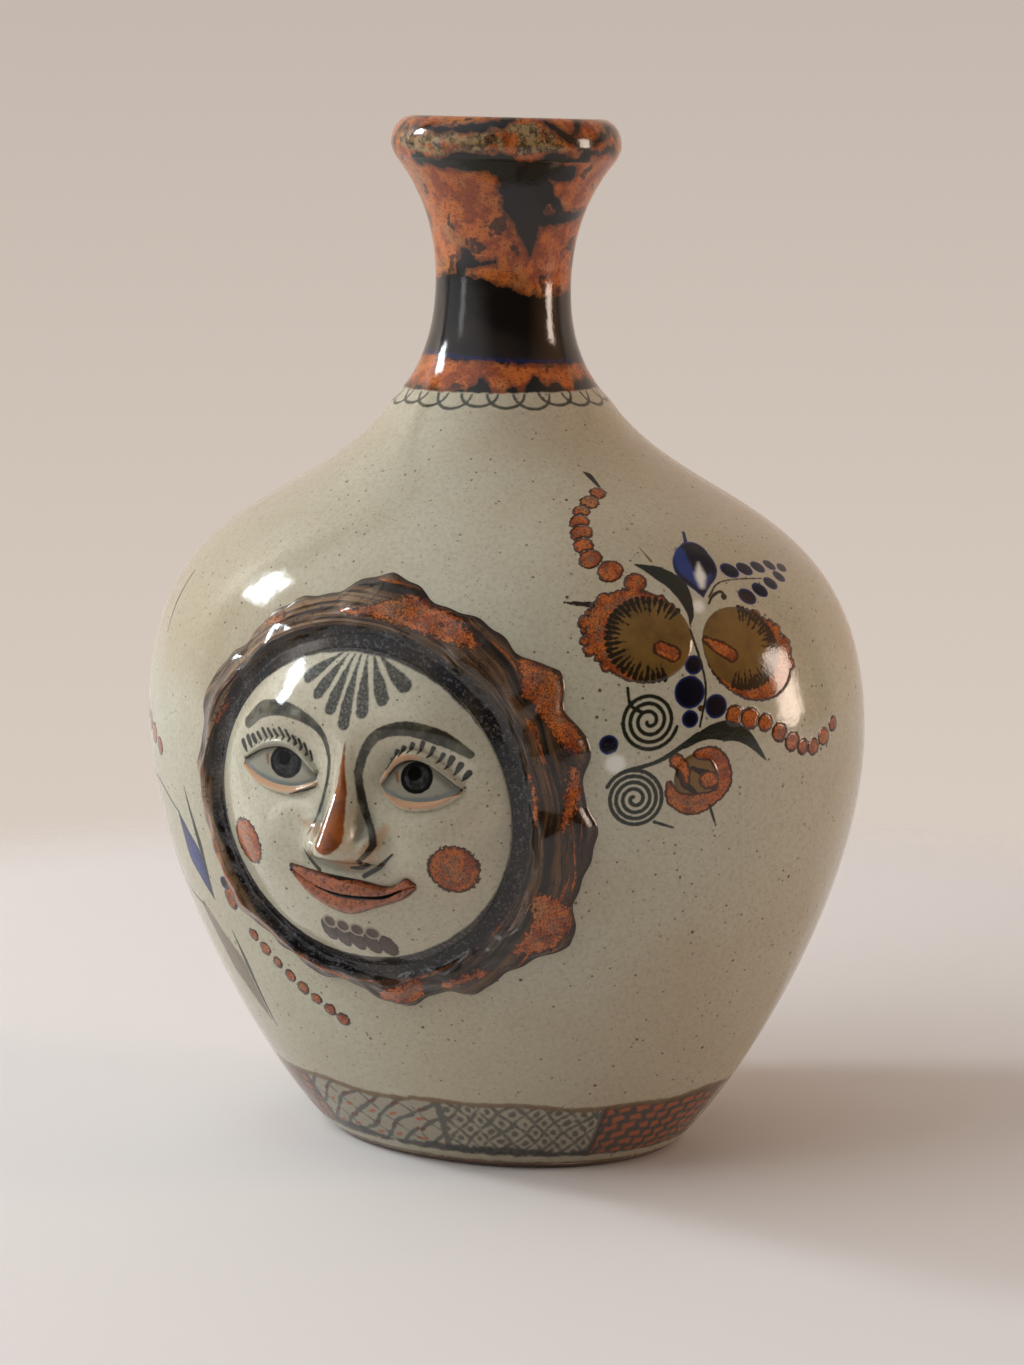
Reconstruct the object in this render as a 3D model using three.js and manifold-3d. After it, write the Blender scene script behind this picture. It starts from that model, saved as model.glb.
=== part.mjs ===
import * as THREE from 'three';
import Module from 'manifold-3d';

// Face vase: a glazed stoneware flask, oval in plan, with a sun face in relief on its broad front.
// Millimetres, +Z up. The origin is on the neck's axis at table level, and the face looks along -Y.
// The clay pieces are formed one by one and luted together with slip before firing.

// Slip joint left between two clay pieces
const JOINT_GAP = 0.3;

// Body: half sizes of the oval sections and the reach of the curves between them
const FOOT_HALF_WIDTH = 48;
const FOOT_HALF_DEPTH = 36;
const FOOT_ROUNDING = 6.7;
const BELLY_HALF_WIDTH = 98.7;
const BELLY_HALF_DEPTH = 79.5;
const BELLY_HEIGHT = 112;
const BELLY_CURVE_RISE = 49.6;
const SHOULDER_RISE = 84;
const SHOULDER_CURVE_RISE = 60.6;
const WALL = 6;

// Base slab with the boss that locates the half shells
const SLAB_HEIGHT = 9;
const BOSS_RISE = 3;

// Collar on top of the body, and the neck's spigot in it
const COLLAR_RADIUS = 29.4;
const COLLAR_SWEEP = 35.3;
const COLLAR_SLOPE = 35.9;
const COLLAR_RUN = 3.3;
const SPIGOT_RADIUS = 20;
const SPIGOT_DEPTH = 6;

// Neck
const WAIST_RADIUS = 17.7;
const WAIST_RISE = 31;
const WAIST_CURVE_RISE = 20.7;
const FLARE_RISE = 32;
const FLARE_RADIUS = 28.3;
const FLARE_CURVE_RISE = 13;
const FLARE_SWEEP = 11;
const FLARE_SLOPE = 39;
const NECK_WALL = 6;

// Rolled rim
const RIM_OVERHANG = 1.6;
const RIM_ROLL_WIDTH = 10.8;
const RIM_HEIGHT = 11;
const RIM_CROWN = 7;
const RIM_LIP_RISE = 1.5;
const RIM_LIP_WIDTH = 2.5;
const RIM_TUCK = -35;
const RIM_STEPS = 6;

// Sun face: place on the front, turned a little clockwise as the hand set it
const FACE_SHIFT = 1;
const FACE_DROP = 10;
const FACE_TURN = 1.5;
const DISC_RADIUS = 40.5;
const DISC_EDGE = 3.5;
const DISC_DOME = 7;
const DISC_FLATNESS = 0.75;
const CHEEK_ACROSS = 24;
const CHEEK_UP = -11;
const CHEEK_SWELL = 1.4;
const CHEEK_SPREAD = [8, 8];
const CHIN_UP = -31;
const CHIN_SWELL = 1.6;
const CHIN_SPREAD = [8, 5];
const BROW_RISE = 13;
const BROW_SWELL = 1.2;
const BROW_SPREAD = [10, 5];

// Rays: the angle of each tip in degrees from the viewer's right, and its length past the disc as a
// share of the disc's radius
const RAY_ANGLES = [-3.6, 21.3, 38.2, 55.5, 87.5, 119, 153, 177, 216.5, 249, 277, 301, 327.5];
const RAY_SHARES = [0.43, 0.47, 0.51, 0.395, 0.43, 0.345, 0.37, 0.295, 0.32, 0.22, 0.31, 0.32, 0.46];
const RAY_DIP = 3.2;
const RAY_EDGE = 3.2;
const RAY_CREST = 6.4;
const RAY_GROOVE = 3;
const RAY_RUFFLE = 1.2;

// Eyes, nose and mouth sit a little to the viewer's right of the disc's middle, each by its own amount
const EYES_SHIFT = 1.5;
const NOSE_SHIFT = 2.7;
const MOUTH_SHIFT = 3;

// Eyes
const EYE_SPACING = 14.6;
const EYE_UP = 10.5;
const EYE_HALF_LENGTH = 11;
const EYE_UPPER = 4.6;
const EYE_LOWER = 3.8;
const EYE_HOLLOW = 1.8;
const EYE_HOLLOW_SPREAD = [9, 6];
const EYEBALL_BULGE = 2.6;
const EYEBALL_END_GAP = 1;
const LID_WIDTH = 2.2;
const LID_BULGE = 3;

// Nose
const NOSE_TOP = 17;
const NOSE_BOTTOM = -11.5;
const NOSE_BRIDGE_WIDTH = 5.5;
const NOSE_BASE_WIDTH = 18.5;
const NOSE_TIP_UP = -6.3;
const NOSE_BRIDGE_LIFT = 1.6;
const NOSE_TIP_LIFT = 8.5;

// Mouth
const MOUTH_HALF_WIDTH = 16.5;
const MOUTH_DROP = 3.5;
const MOUTH_CORNER_RISE = 4.4;
const UPPER_LIP_WIDTH = 4.6;
const LOWER_LIP_WIDTH = 5.2;
const LIP_BULGE = 2.6;

// Thinnest edge of an applied coil or pellet
const COIL_EDGE = 0.7;

// Facets
const BODY_FACETS = 48;
const NECK_FACETS = 36;
const CURVE_STEPS = 11;
const RAY_STEPS = 8;

const radians = THREE.MathUtils.degToRad;
const lerp = THREE.MathUtils.lerp;

const COLLAR_HEIGHT = BELLY_HEIGHT + SHOULDER_RISE;
const WAIST_HEIGHT = COLLAR_HEIGHT + WAIST_RISE;
const RIM_SEAT = WAIST_HEIGHT + FLARE_RISE;
const RIM_RADIUS = FLARE_RADIUS + RIM_OVERHANG;
const FACE_HEIGHT = BELLY_HEIGHT - FACE_DROP;
const MOUTH_UP = NOSE_BOTTOM - MOUTH_DROP - UPPER_LIP_WIDTH;

function eyeAcross(side) {
  return EYES_SHIFT + side * (EYE_SPACING / 2 + EYE_HALF_LENGTH);
}

// One curve holds half width, half depth and height, so it gives both axes of the oval.
function vesselCurve(points) {
  return new THREE.CubicBezierCurve3(...points.map((point) => new THREE.Vector3(...point)));
}

function round(radius, height) {
  return [radius, radius, height];
}

const collarReach = COLLAR_SWEEP * Math.sin(radians(COLLAR_SLOPE));
const collarDrop = COLLAR_SWEEP * Math.cos(radians(COLLAR_SLOPE));
const collarLean = COLLAR_RUN * Math.sin(radians(COLLAR_SLOPE));
const collarLift = COLLAR_RUN * Math.cos(radians(COLLAR_SLOPE));
const flareReach = FLARE_SWEEP * Math.sin(radians(FLARE_SLOPE));
const flareDrop = FLARE_SWEEP * Math.cos(radians(FLARE_SLOPE));

const lowerCurve = vesselCurve([
  [FOOT_HALF_WIDTH, FOOT_HALF_DEPTH, 0],
  [FOOT_HALF_WIDTH + FOOT_ROUNDING, FOOT_HALF_DEPTH + FOOT_ROUNDING, 0],
  [BELLY_HALF_WIDTH, BELLY_HALF_DEPTH, BELLY_HEIGHT - BELLY_CURVE_RISE],
  [BELLY_HALF_WIDTH, BELLY_HALF_DEPTH, BELLY_HEIGHT],
]);
const shoulderCurve = vesselCurve([
  [BELLY_HALF_WIDTH, BELLY_HALF_DEPTH, BELLY_HEIGHT],
  [BELLY_HALF_WIDTH, BELLY_HALF_DEPTH, BELLY_HEIGHT + SHOULDER_CURVE_RISE],
  round(COLLAR_RADIUS + collarReach, COLLAR_HEIGHT - collarDrop),
  round(COLLAR_RADIUS, COLLAR_HEIGHT),
]);
const neckCurve = vesselCurve([
  round(COLLAR_RADIUS, COLLAR_HEIGHT),
  round(COLLAR_RADIUS - collarLean, COLLAR_HEIGHT + collarLift),
  round(WAIST_RADIUS, WAIST_HEIGHT - WAIST_CURVE_RISE),
  round(WAIST_RADIUS, WAIST_HEIGHT),
]);
const flareCurve = vesselCurve([
  round(WAIST_RADIUS, WAIST_HEIGHT),
  round(WAIST_RADIUS, WAIST_HEIGHT + FLARE_CURVE_RISE),
  round(FLARE_RADIUS - flareReach, RIM_SEAT - flareDrop),
  round(FLARE_RADIUS, RIM_SEAT),
]);
const vesselCurves = [lowerCurve, shoulderCurve, neckCurve, flareCurve];

// Where a height falls on the vessel's outside: the curve and the place along it
function findHeight(height) {
  const curve = vesselCurves.find((one) => height <= one.v3.z) ?? flareCurve;
  let low = 0;
  let high = 1;
  for (let halving = 0; halving < 40; halving += 1) {
    const middle = (low + high) / 2;
    if (curve.getPoint(middle).z < height) {
      low = middle;
    } else {
      high = middle;
    }
  }
  return { curve, place: (low + high) / 2 };
}

function sectionAt(height) {
  const { curve, place } = findHeight(height);
  return curve.getPoint(place).setZ(height);
}

// The same section moved in by the wall, which is measured square to the slope on both axes
function innerSectionAt(height, wall) {
  const { curve, place } = findHeight(height);
  const slope = curve.getTangent(place);
  const section = curve.getPoint(place);
  const inWidth = wall * Math.hypot(1, slope.x / slope.z);
  const inDepth = wall * Math.hypot(1, slope.y / slope.z);
  return new THREE.Vector3(section.x - inWidth, section.y - inDepth, height);
}

function sectionsBetween(from, to, steps, pick) {
  const sections = [];
  for (let step = 0; step <= steps; step += 1) {
    sections.push(pick(lerp(from, to, step / steps)));
  }
  return sections;
}

function grown(section, by) {
  return new THREE.Vector3(section.x + by, section.y + by, section.z);
}

function signedVolume(points, faces) {
  let volume = 0;
  for (let corner = 0; corner < faces.length; corner += 3) {
    const [a, b, c] = [points[faces[corner]], points[faces[corner + 1]], points[faces[corner + 2]]];
    volume += a.dot(new THREE.Vector3().crossVectors(b, c)) / 6;
  }
  return volume;
}

// Closed skin over a stack of rings with equal numbers of points. The stack either wraps back to its
// first ring, or each end is closed by a fan round the end ring's middle.
function skin(rings, wraps) {
  const count = rings[0].length;
  const points = rings.flat();
  const faces = [];
  const bands = wraps ? rings.length : rings.length - 1;
  for (let band = 0; band < bands; band += 1) {
    const lower = band * count;
    const upper = ((band + 1) % rings.length) * count;
    for (let i = 0; i < count; i += 1) {
      const next = (i + 1) % count;
      faces.push(lower + i, lower + next, upper + next, lower + i, upper + next, upper + i);
    }
  }
  if (!wraps) {
    for (const [end, turned] of [[0, true], [rings.length - 1, false]]) {
      const middle = new THREE.Vector3();
      rings[end].forEach((point) => middle.addScaledVector(point, 1 / count));
      points.push(middle);
      for (let i = 0; i < count; i += 1) {
        const [here, next] = [end * count + i, end * count + ((i + 1) % count)];
        faces.push(points.length - 1, ...(turned ? [next, here] : [here, next]));
      }
    }
  }
  if (signedVolume(points, faces) < 0) {
    faces.reverse();
  }
  return new THREE.BufferGeometry().setFromPoints(points).setIndex(faces);
}

function ovalRing(section, facets) {
  const ring = [];
  for (let i = 0; i < facets; i += 1) {
    const angle = (2 * Math.PI * i) / facets;
    ring.push(new THREE.Vector3(section.x * Math.cos(angle), section.y * Math.sin(angle), section.z));
  }
  return ring;
}

function loft(sections, facets, wraps) {
  return skin(sections.map((section) => ovalRing(section, facets)), wraps);
}

// Cuts, for the seam between the two half shells
const wasm = await Module();
wasm.setup();

function toSolid(geometry) {
  return new wasm.Manifold(new wasm.Mesh({
    numProp: 3,
    vertProperties: new Float32Array(geometry.getAttribute('position').array),
    triVerts: new Uint32Array(geometry.getIndex().array),
  }));
}

function overlapOf(geometry, keeper) {
  const mesh = toSolid(geometry).intersect(toSolid(keeper)).getMesh();
  const cut = new THREE.BufferGeometry();
  cut.setAttribute('position', new THREE.BufferAttribute(new Float32Array(mesh.vertProperties), 3));
  return cut.setIndex([...mesh.triVerts]);
}

// Half space in front of the seam (side -1) or behind it (side 1), as a box round the whole body
function seamSide(side) {
  const reach = BELLY_HALF_WIDTH + BELLY_HALF_DEPTH + COLLAR_HEIGHT;
  const middle = side * (reach + JOINT_GAP) / 2;
  const corners = [[-reach, middle - reach / 2], [reach, middle - reach / 2],
    [reach, middle + reach / 2], [-reach, middle + reach / 2]];
  const level = (height) => corners.map(([x, y]) => new THREE.Vector3(x, y, height));
  return skin([level(-reach), level(reach)], false);
}

// Slab: rounded foot, flat seat for the shells, and the boss inside them
function baseSlab() {
  const rise = sectionsBetween(0, SLAB_HEIGHT, 4, sectionAt);
  const seatInside = grown(innerSectionAt(SLAB_HEIGHT + JOINT_GAP, WALL), -JOINT_GAP);
  const bossFoot = seatInside.clone().setZ(SLAB_HEIGHT);
  const bossTop = seatInside.clone().setZ(SLAB_HEIGHT + BOSS_RISE);
  const underside = rise[0].clone().multiplyScalar(0.5).setZ(0);
  return loft([underside, ...rise, bossFoot, bossTop], BODY_FACETS, false);
}

// Hollow body without slab and neck, cut at the side seams
function bodyShell() {
  const bottom = SLAB_HEIGHT + JOINT_GAP;
  const collarFoot = COLLAR_HEIGHT - SPIGOT_DEPTH - WALL;
  const boreRadius = SPIGOT_RADIUS + JOINT_GAP;
  const outer = [
    ...sectionsBetween(bottom, BELLY_HEIGHT, CURVE_STEPS, sectionAt),
    ...sectionsBetween(BELLY_HEIGHT, COLLAR_HEIGHT, CURVE_STEPS, sectionAt).slice(1),
  ];
  const inner = (height) => innerSectionAt(height, WALL);
  const inside = [
    new THREE.Vector3(boreRadius, boreRadius, COLLAR_HEIGHT),
    new THREE.Vector3(boreRadius, boreRadius, COLLAR_HEIGHT - SPIGOT_DEPTH),
    ...sectionsBetween(collarFoot, BELLY_HEIGHT, CURVE_STEPS - 2, inner),
    ...sectionsBetween(BELLY_HEIGHT, bottom + BOSS_RISE, CURVE_STEPS - 3, inner).slice(1),
    inner(bottom).setZ(bottom + BOSS_RISE / 2),
    inner(bottom),
  ];
  return loft([...outer, ...inside], BODY_FACETS, true);
}

// Neck: outside from the collar to the rim seat, lip for the rim, bore, and the spigot below
function neckTube() {
  const foot = COLLAR_HEIGHT + JOINT_GAP;
  const outer = [
    ...sectionsBetween(foot, WAIST_HEIGHT, 6, sectionAt),
    ...sectionsBetween(WAIST_HEIGHT, RIM_SEAT, 6, sectionAt).slice(1),
  ];
  const mouth = FLARE_RADIUS - NECK_WALL - RIM_LIP_WIDTH;
  const lipOuter = mouth + RIM_LIP_WIDTH;
  const boreFoot = SPIGOT_RADIUS - NECK_WALL;
  const bore = (height) => grown(sectionAt(height), -NECK_WALL);
  const spigotFoot = COLLAR_HEIGHT - SPIGOT_DEPTH + JOINT_GAP;
  const at = (radius, height) => new THREE.Vector3(...round(radius, height));
  const inside = [
    at(lipOuter, RIM_SEAT),
    at(lipOuter, RIM_SEAT + RIM_LIP_RISE),
    at(mouth, RIM_SEAT + RIM_LIP_RISE),
    ...sectionsBetween(RIM_SEAT - FLARE_RISE / 4, WAIST_HEIGHT, 4, bore),
    at(boreFoot, foot),
    at(boreFoot, spigotFoot),
    at(SPIGOT_RADIUS, spigotFoot),
    at(SPIGOT_RADIUS, foot),
  ];
  return loft([...outer, ...inside], NECK_FACETS, true);
}

// Rolled rim: an egg-shaped roll with a flat seat and a rebate over the neck's lip
function rimRoll() {
  const seat = RIM_SEAT + JOINT_GAP;
  const rebateRadius = FLARE_RADIUS - NECK_WALL + JOINT_GAP;
  const rebateTop = RIM_SEAT + RIM_LIP_RISE + JOINT_GAP;
  const top = RIM_SEAT + RIM_HEIGHT;
  const middle = RIM_RADIUS - RIM_ROLL_WIDTH / 2;
  const widest = top - RIM_CROWN;
  const rolled = (degrees, drop) => round(
    middle + (RIM_ROLL_WIDTH / 2) * Math.cos(radians(degrees)),
    widest + drop * Math.sin(radians(degrees)),
  );
  const under = widest - seat;
  const crown = [];
  for (let step = 0; step <= RIM_STEPS; step += 1) {
    crown.push(rolled((180 * step) / RIM_STEPS, RIM_CROWN));
  }
  const profile = [
    round(FLARE_RADIUS, seat),
    rolled(RIM_TUCK, under),
    ...crown,
    round(RIM_RADIUS - RIM_ROLL_WIDTH, rebateTop),
    round(rebateRadius, rebateTop),
    round(rebateRadius, seat),
  ];
  return loft(profile.map((point) => new THREE.Vector3(...point)), NECK_FACETS, true);
}

// How far the body's front stands out from the seam plane at a place on it
function frontDepth(x, z) {
  const section = sectionAt(z);
  return section.y * Math.sqrt(Math.max(0, 1 - (x / section.x) ** 2));
}

// A point of the sun face: across and up from its middle, lifted off the body's front
function facePoint(across, up, lift) {
  const turn = radians(FACE_TURN);
  const x = FACE_SHIFT + across * Math.cos(turn) + up * Math.sin(turn);
  const z = FACE_HEIGHT - across * Math.sin(turn) + up * Math.cos(turn);
  return new THREE.Vector3(x, -(frontDepth(x, z) + lift), z);
}

// Soft swelling or hollow on the disc, with its spread across and up
function swell(across, up, middle, spread) {
  const sideways = (across - middle[0]) / spread[0];
  const upright = (up - middle[1]) / spread[1];
  return Math.exp(-(sideways * sideways + upright * upright) / 2);
}

// Face disc without its applied features: dome, cheeks, brow, chin and the hollows for the eyes
function discLift(across, up) {
  const share = Math.min(1, Math.hypot(across, up) / DISC_RADIUS);
  let lift = DISC_EDGE + DISC_DOME * (1 - share * share) ** DISC_FLATNESS;
  const inside = 1 - share ** 6;
  for (const side of [-1, 1]) {
    const eye = eyeAcross(side);
    lift -= EYE_HOLLOW * inside * swell(across, up, [eye, EYE_UP], EYE_HOLLOW_SPREAD);
    lift += BROW_SWELL * inside * swell(across, up, [eye, EYE_UP + BROW_RISE], BROW_SPREAD);
    lift += CHEEK_SWELL * inside * swell(across, up, [side * CHEEK_ACROSS, CHEEK_UP], CHEEK_SPREAD);
  }
  return lift + CHIN_SWELL * inside * swell(across, up, [0, CHIN_UP], CHIN_SPREAD);
}

function seatLift(across, up) {
  return discLift(across, up) + JOINT_GAP;
}

// Pad on the face: a few rings grow from its middle under it, and more shrink back over its top
function pad(outline, middle, facets, steps, under, over) {
  const ring = (share, lift) => {
    const points = [];
    for (let i = 0; i < facets; i += 1) {
      const [across, up] = outline((2 * Math.PI * i) / facets);
      const [here, there] = [lerp(middle[0], across, share), lerp(middle[1], up, share)];
      points.push(facePoint(here, there, lift(here, there)));
    }
    return points;
  };
  const rings = [];
  const underSteps = Math.ceil(steps / 2);
  for (let step = 1; step <= underSteps; step += 1) {
    rings.push(ring(step / underSteps, under));
  }
  for (let step = steps; step >= 1; step -= 1) {
    rings.push(ring(step / steps, over));
  }
  return skin(rings, false);
}

function faceDisc() {
  const circle = (angle) => [DISC_RADIUS * Math.cos(angle), DISC_RADIUS * Math.sin(angle)];
  return pad(circle, [0, 0], 60, 11, () => JOINT_GAP, discLift);
}

// Ruffled ring: tips are pointed, the edge dips in a bow between them, and the crest rises at each tip
function sunRayRing() {
  const inner = DISC_RADIUS + JOINT_GAP;
  const spokes = [];
  RAY_ANGLES.forEach((angle, k) => {
    const next = (k + 1) % RAY_ANGLES.length;
    const turned = RAY_ANGLES[next] < angle ? RAY_ANGLES[next] + 360 : RAY_ANGLES[next];
    for (let step = 0; step < RAY_STEPS; step += 1) {
      const share = step / RAY_STEPS;
      const dip = Math.sin(Math.PI * share);
      const reach = lerp(RAY_SHARES[k], RAY_SHARES[next], share);
      const outer = DISC_RADIUS * (1 + reach) - RAY_DIP * dip;
      spokes.push({ angle: radians(lerp(angle, turned, share)), dip, outer });
    }
  });
  const loop = (share, lift) => spokes.map(({ angle, dip, outer }) => {
    const radius = lerp(inner, outer, share);
    return facePoint(radius * Math.cos(angle), radius * Math.sin(angle), lift(dip));
  });
  const crest = (dip) => RAY_CREST - RAY_RUFFLE * dip;
  const edge = (dip) => RAY_EDGE - (RAY_RUFFLE / 2) * dip;
  const rings = [
    loop(0, () => JOINT_GAP),
    loop(0.5, () => JOINT_GAP),
    loop(1, () => JOINT_GAP),
    loop(1, edge),
    loop(0.82, (dip) => lerp(crest(dip), edge(dip), 0.35)),
    loop(0.58, crest),
    loop(0.35, (dip) => lerp(crest(dip), RAY_GROOVE, 0.4)),
    loop(0.18, () => RAY_GROOVE),
    loop(0, () => RAY_GROOVE),
  ];
  return skin(rings, true);
}

// Almond pellet that fills the opening between the lids
function eyeball(side) {
  const eye = eyeAcross(side);
  const outline = (angle) => {
    const arc = Math.sin(angle) > 0 ? EYE_UPPER : -EYE_LOWER;
    const bow = Math.sin(angle) ** 2 * (arc - Math.sign(arc) * 2 * JOINT_GAP);
    return [eye + (EYE_HALF_LENGTH - EYEBALL_END_GAP) * Math.cos(angle), EYE_UP + bow];
  };
  const over = (across, up) => {
    const sideways = (across - eye) / EYE_HALF_LENGTH;
    const upright = (up - EYE_UP) / EYE_UPPER;
    const bulge = Math.max(0, 1 - sideways * sideways - 0.6 * upright * upright);
    return seatLift(across, up) + COIL_EDGE + (EYEBALL_BULGE - COIL_EDGE) * bulge;
  };
  return pad(outline, [eye, EYE_UP], 24, 4, seatLift, over);
}

// Coil laid along a line on the face, tapering to both ends
function coil(line, halfWidth, bulge, steps) {
  const rings = [];
  for (let step = 0; step <= steps; step += 1) {
    const place = step / steps;
    const [across, up] = line(place);
    const half = halfWidth(place);
    const crown = lerp(COIL_EDGE, bulge, Math.sin(Math.PI * lerp(0.06, 0.94, place)));
    const section = [[-1, 0], [0, 0], [1, 0], [1, COIL_EDGE], [0.55, crown * 0.85], [0, crown],
      [-0.55, crown * 0.85], [-1, COIL_EDGE]];
    rings.push(section.map(([aside, lift]) => {
      const there = up + aside * half;
      return facePoint(across, there, seatLift(across, there) + lift);
    }));
  }
  return skin(rings, false);
}

function taper(place, widest, narrowest) {
  return lerp(narrowest, widest, Math.sin(Math.PI * place));
}

// Lid: follows the almond's upper (rise 1) or lower (rise -1) edge from corner to corner
function eyelid(side, rise) {
  const arc = rise > 0 ? EYE_UPPER : EYE_LOWER;
  const half = (place) => taper(place, LID_WIDTH / 2, LID_WIDTH / 4);
  const line = (place) => {
    const along = 2 * place - 1;
    const edge = arc * (1 - along * along) + JOINT_GAP / 2;
    return [eyeAcross(side) + along * EYE_HALF_LENGTH, EYE_UP + rise * (edge + half(place))];
  };
  return coil(line, half, LID_BULGE, 12);
}

// Lip: above (rise 1) or below (rise -1) the parting line, whose corners turn up
function lip(rise) {
  const width = rise > 0 ? UPPER_LIP_WIDTH : LOWER_LIP_WIDTH;
  const half = (place) => taper(place, width / 2, width / 6);
  const line = (place) => {
    const along = 2 * place - 1;
    const parting = MOUTH_UP + MOUTH_CORNER_RISE * along * along;
    return [MOUTH_SHIFT + along * MOUTH_HALF_WIDTH, parting + rise * (JOINT_GAP / 2 + half(place))];
  };
  return coil(line, half, LIP_BULGE, 14);
}

// Nose: narrow bridge that widens and lifts to the tip, with a round base
function noseWedge() {
  const middle = (NOSE_TOP + NOSE_BOTTOM) / 2;
  const reach = (NOSE_TOP - NOSE_BOTTOM) / 2;
  const down = (up) => THREE.MathUtils.clamp((NOSE_TOP - up) / (NOSE_TOP - NOSE_TIP_UP), 0, 1);
  const halfWidth = (up) => lerp(NOSE_BRIDGE_WIDTH, NOSE_BASE_WIDTH, down(up) ** 2.2) / 2;
  const outline = (angle) => {
    const up = middle + reach * Math.sin(angle);
    const fill = Math.abs(Math.cos(angle)) ** 0.6;
    return [NOSE_SHIFT + Math.sign(Math.cos(angle)) * fill * halfWidth(up), up];
  };
  const over = (across, up) => {
    const sideways = Math.min(1, Math.abs(across - NOSE_SHIFT) / halfWidth(up));
    const below = THREE.MathUtils.clamp((NOSE_TIP_UP - up) / (NOSE_TIP_UP - NOSE_BOTTOM), 0, 1);
    const ridge = lerp(NOSE_BRIDGE_LIFT, NOSE_TIP_LIFT, down(up) ** 1.5) * (1 - below * below);
    const round = (1 - sideways * sideways) ** 0.8;
    return seatLift(across, up) + COIL_EDGE + ridge * round;
  };
  return pad(outline, [NOSE_SHIFT, lerp(middle, NOSE_TIP_UP, 0.4)], 32, 6, seatLift, over);
}

const vase = new THREE.Group();
vase.name = 'face_vase';

function addPiece(name, geometry, color, roughness) {
  geometry.computeVertexNormals();
  const material = new THREE.MeshStandardMaterial({ color, roughness, metalness: 0 });
  const piece = new THREE.Mesh(geometry, material);
  piece.name = name;
  vase.add(piece);
}

const shell = bodyShell();
addPiece('base_slab', baseSlab(), '#7d6650', 0.6);
addPiece('front_shell', overlapOf(shell, seamSide(-1)), '#a8a08a', 0.15);
addPiece('back_shell', overlapOf(shell, seamSide(1)), '#a29a84', 0.15);
addPiece('neck', neckTube(), '#8a4a2c', 0.15);
addPiece('rim_roll', rimRoll(), '#9a5534', 0.15);
addPiece('sun_ray_ring', sunRayRing(), '#5a3a2a', 0.15);
addPiece('face_disc', faceDisc(), '#b0a890', 0.15);
addPiece('nose', noseWedge(), '#9a5a30', 0.15);
for (const [name, side] of [['left', -1], ['right', 1]]) {
  addPiece(`${name}_eyeball`, eyeball(side), '#3a3c3a', 0.12);
  addPiece(`${name}_upper_eyelid`, eyelid(side, 1), '#b59a80', 0.15);
  addPiece(`${name}_lower_eyelid`, eyelid(side, -1), '#c2a084', 0.15);
}
addPiece('upper_lip', lip(1), '#9c5238', 0.15);
addPiece('lower_lip', lip(-1), '#a35a3e', 0.15);

export default vase;
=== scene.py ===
"""Face vase: the look of the glazed stoneware flask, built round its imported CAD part.

Lengths are in millimetres until a mesh is made. +Z is up and the sun face looks along -Y.
Places on the body are (turn, height): degrees round the oval from the front towards the viewer's
right, and millimetres above the table. Places on the sun face are (across, up) from the middle of
its disc. Painted shapes are inks: each vertex holds its distance to the nearest shape of an ink,
negative inside, and the materials turn that distance into paint.
"""

from math import cos, pi, radians, sin, tan

import bpy
import numpy as np
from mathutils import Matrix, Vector


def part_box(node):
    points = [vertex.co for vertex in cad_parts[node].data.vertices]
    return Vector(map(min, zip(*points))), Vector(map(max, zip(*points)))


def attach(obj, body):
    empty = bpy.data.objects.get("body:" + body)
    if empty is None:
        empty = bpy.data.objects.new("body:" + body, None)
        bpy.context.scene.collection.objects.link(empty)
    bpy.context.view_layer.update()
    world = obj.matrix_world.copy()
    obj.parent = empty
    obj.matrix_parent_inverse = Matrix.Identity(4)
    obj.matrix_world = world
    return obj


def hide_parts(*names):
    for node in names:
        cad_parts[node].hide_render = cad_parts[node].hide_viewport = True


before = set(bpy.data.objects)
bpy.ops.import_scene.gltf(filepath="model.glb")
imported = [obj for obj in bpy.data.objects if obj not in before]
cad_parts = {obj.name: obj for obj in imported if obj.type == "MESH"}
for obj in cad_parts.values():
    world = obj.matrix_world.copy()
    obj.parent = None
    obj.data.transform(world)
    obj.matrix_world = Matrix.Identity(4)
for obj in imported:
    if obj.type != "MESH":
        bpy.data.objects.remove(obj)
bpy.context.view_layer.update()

MM = 0.001


def box_of(node):
    low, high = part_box(node)
    return np.array(low) / MM, np.array(high) / MM


# Sizes read from the CAD part
shell_high = box_of("front_shell")[1]
disc_low, disc_high = box_of("face_disc")
BELLY = (shell_high[0], box_of("back_shell")[1][1])
COLLAR_HEIGHT = shell_high[2]
RIM_RADIUS, _, TOP = box_of("rim_roll")[1]
DISC_RADIUS = (disc_high[2] - disc_low[2]) / 2
FACE_X, _, FACE_Z = (disc_low + disc_high) / 2

# Sizes shared with the CAD part's curves
FOOT = (48, 36)
FOOT_ROUNDING = 6.7
BELLY_HEIGHT = 112
BELLY_CURVE_RISE = 49.6
SHOULDER_CURVE_RISE = 60.6
COLLAR_RADIUS = 29.4
COLLAR_SWEEP = 35.3
COLLAR_RUN = 3.3
COLLAR_SLOPE = radians(35.9)
WAIST_RADIUS = 17.7
WAIST_HEIGHT = 227
WAIST_CURVE_RISE = 20.7
FLARE_RADIUS = 28.3
FLARE_CURVE_RISE = 13
FLARE_SWEEP = 11
FLARE_SLOPE = radians(39)
RIM_SEAT = 259
RIM_ROLL_WIDTH = 10.8
RIM_CROWN = 7
SLAB_TOP = 9.15
WALL = 6
FACE_TURN = radians(1.5)
RAY_ANGLES = [-3.6, 21.3, 38.2, 55.5, 87.5, 119, 153, 177, 216.5, 249, 277, 301, 327.5]
RAY_SHARES = [0.43, 0.47, 0.51, 0.395, 0.43, 0.345, 0.37, 0.295, 0.32, 0.22, 0.31, 0.32, 0.46]

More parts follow.
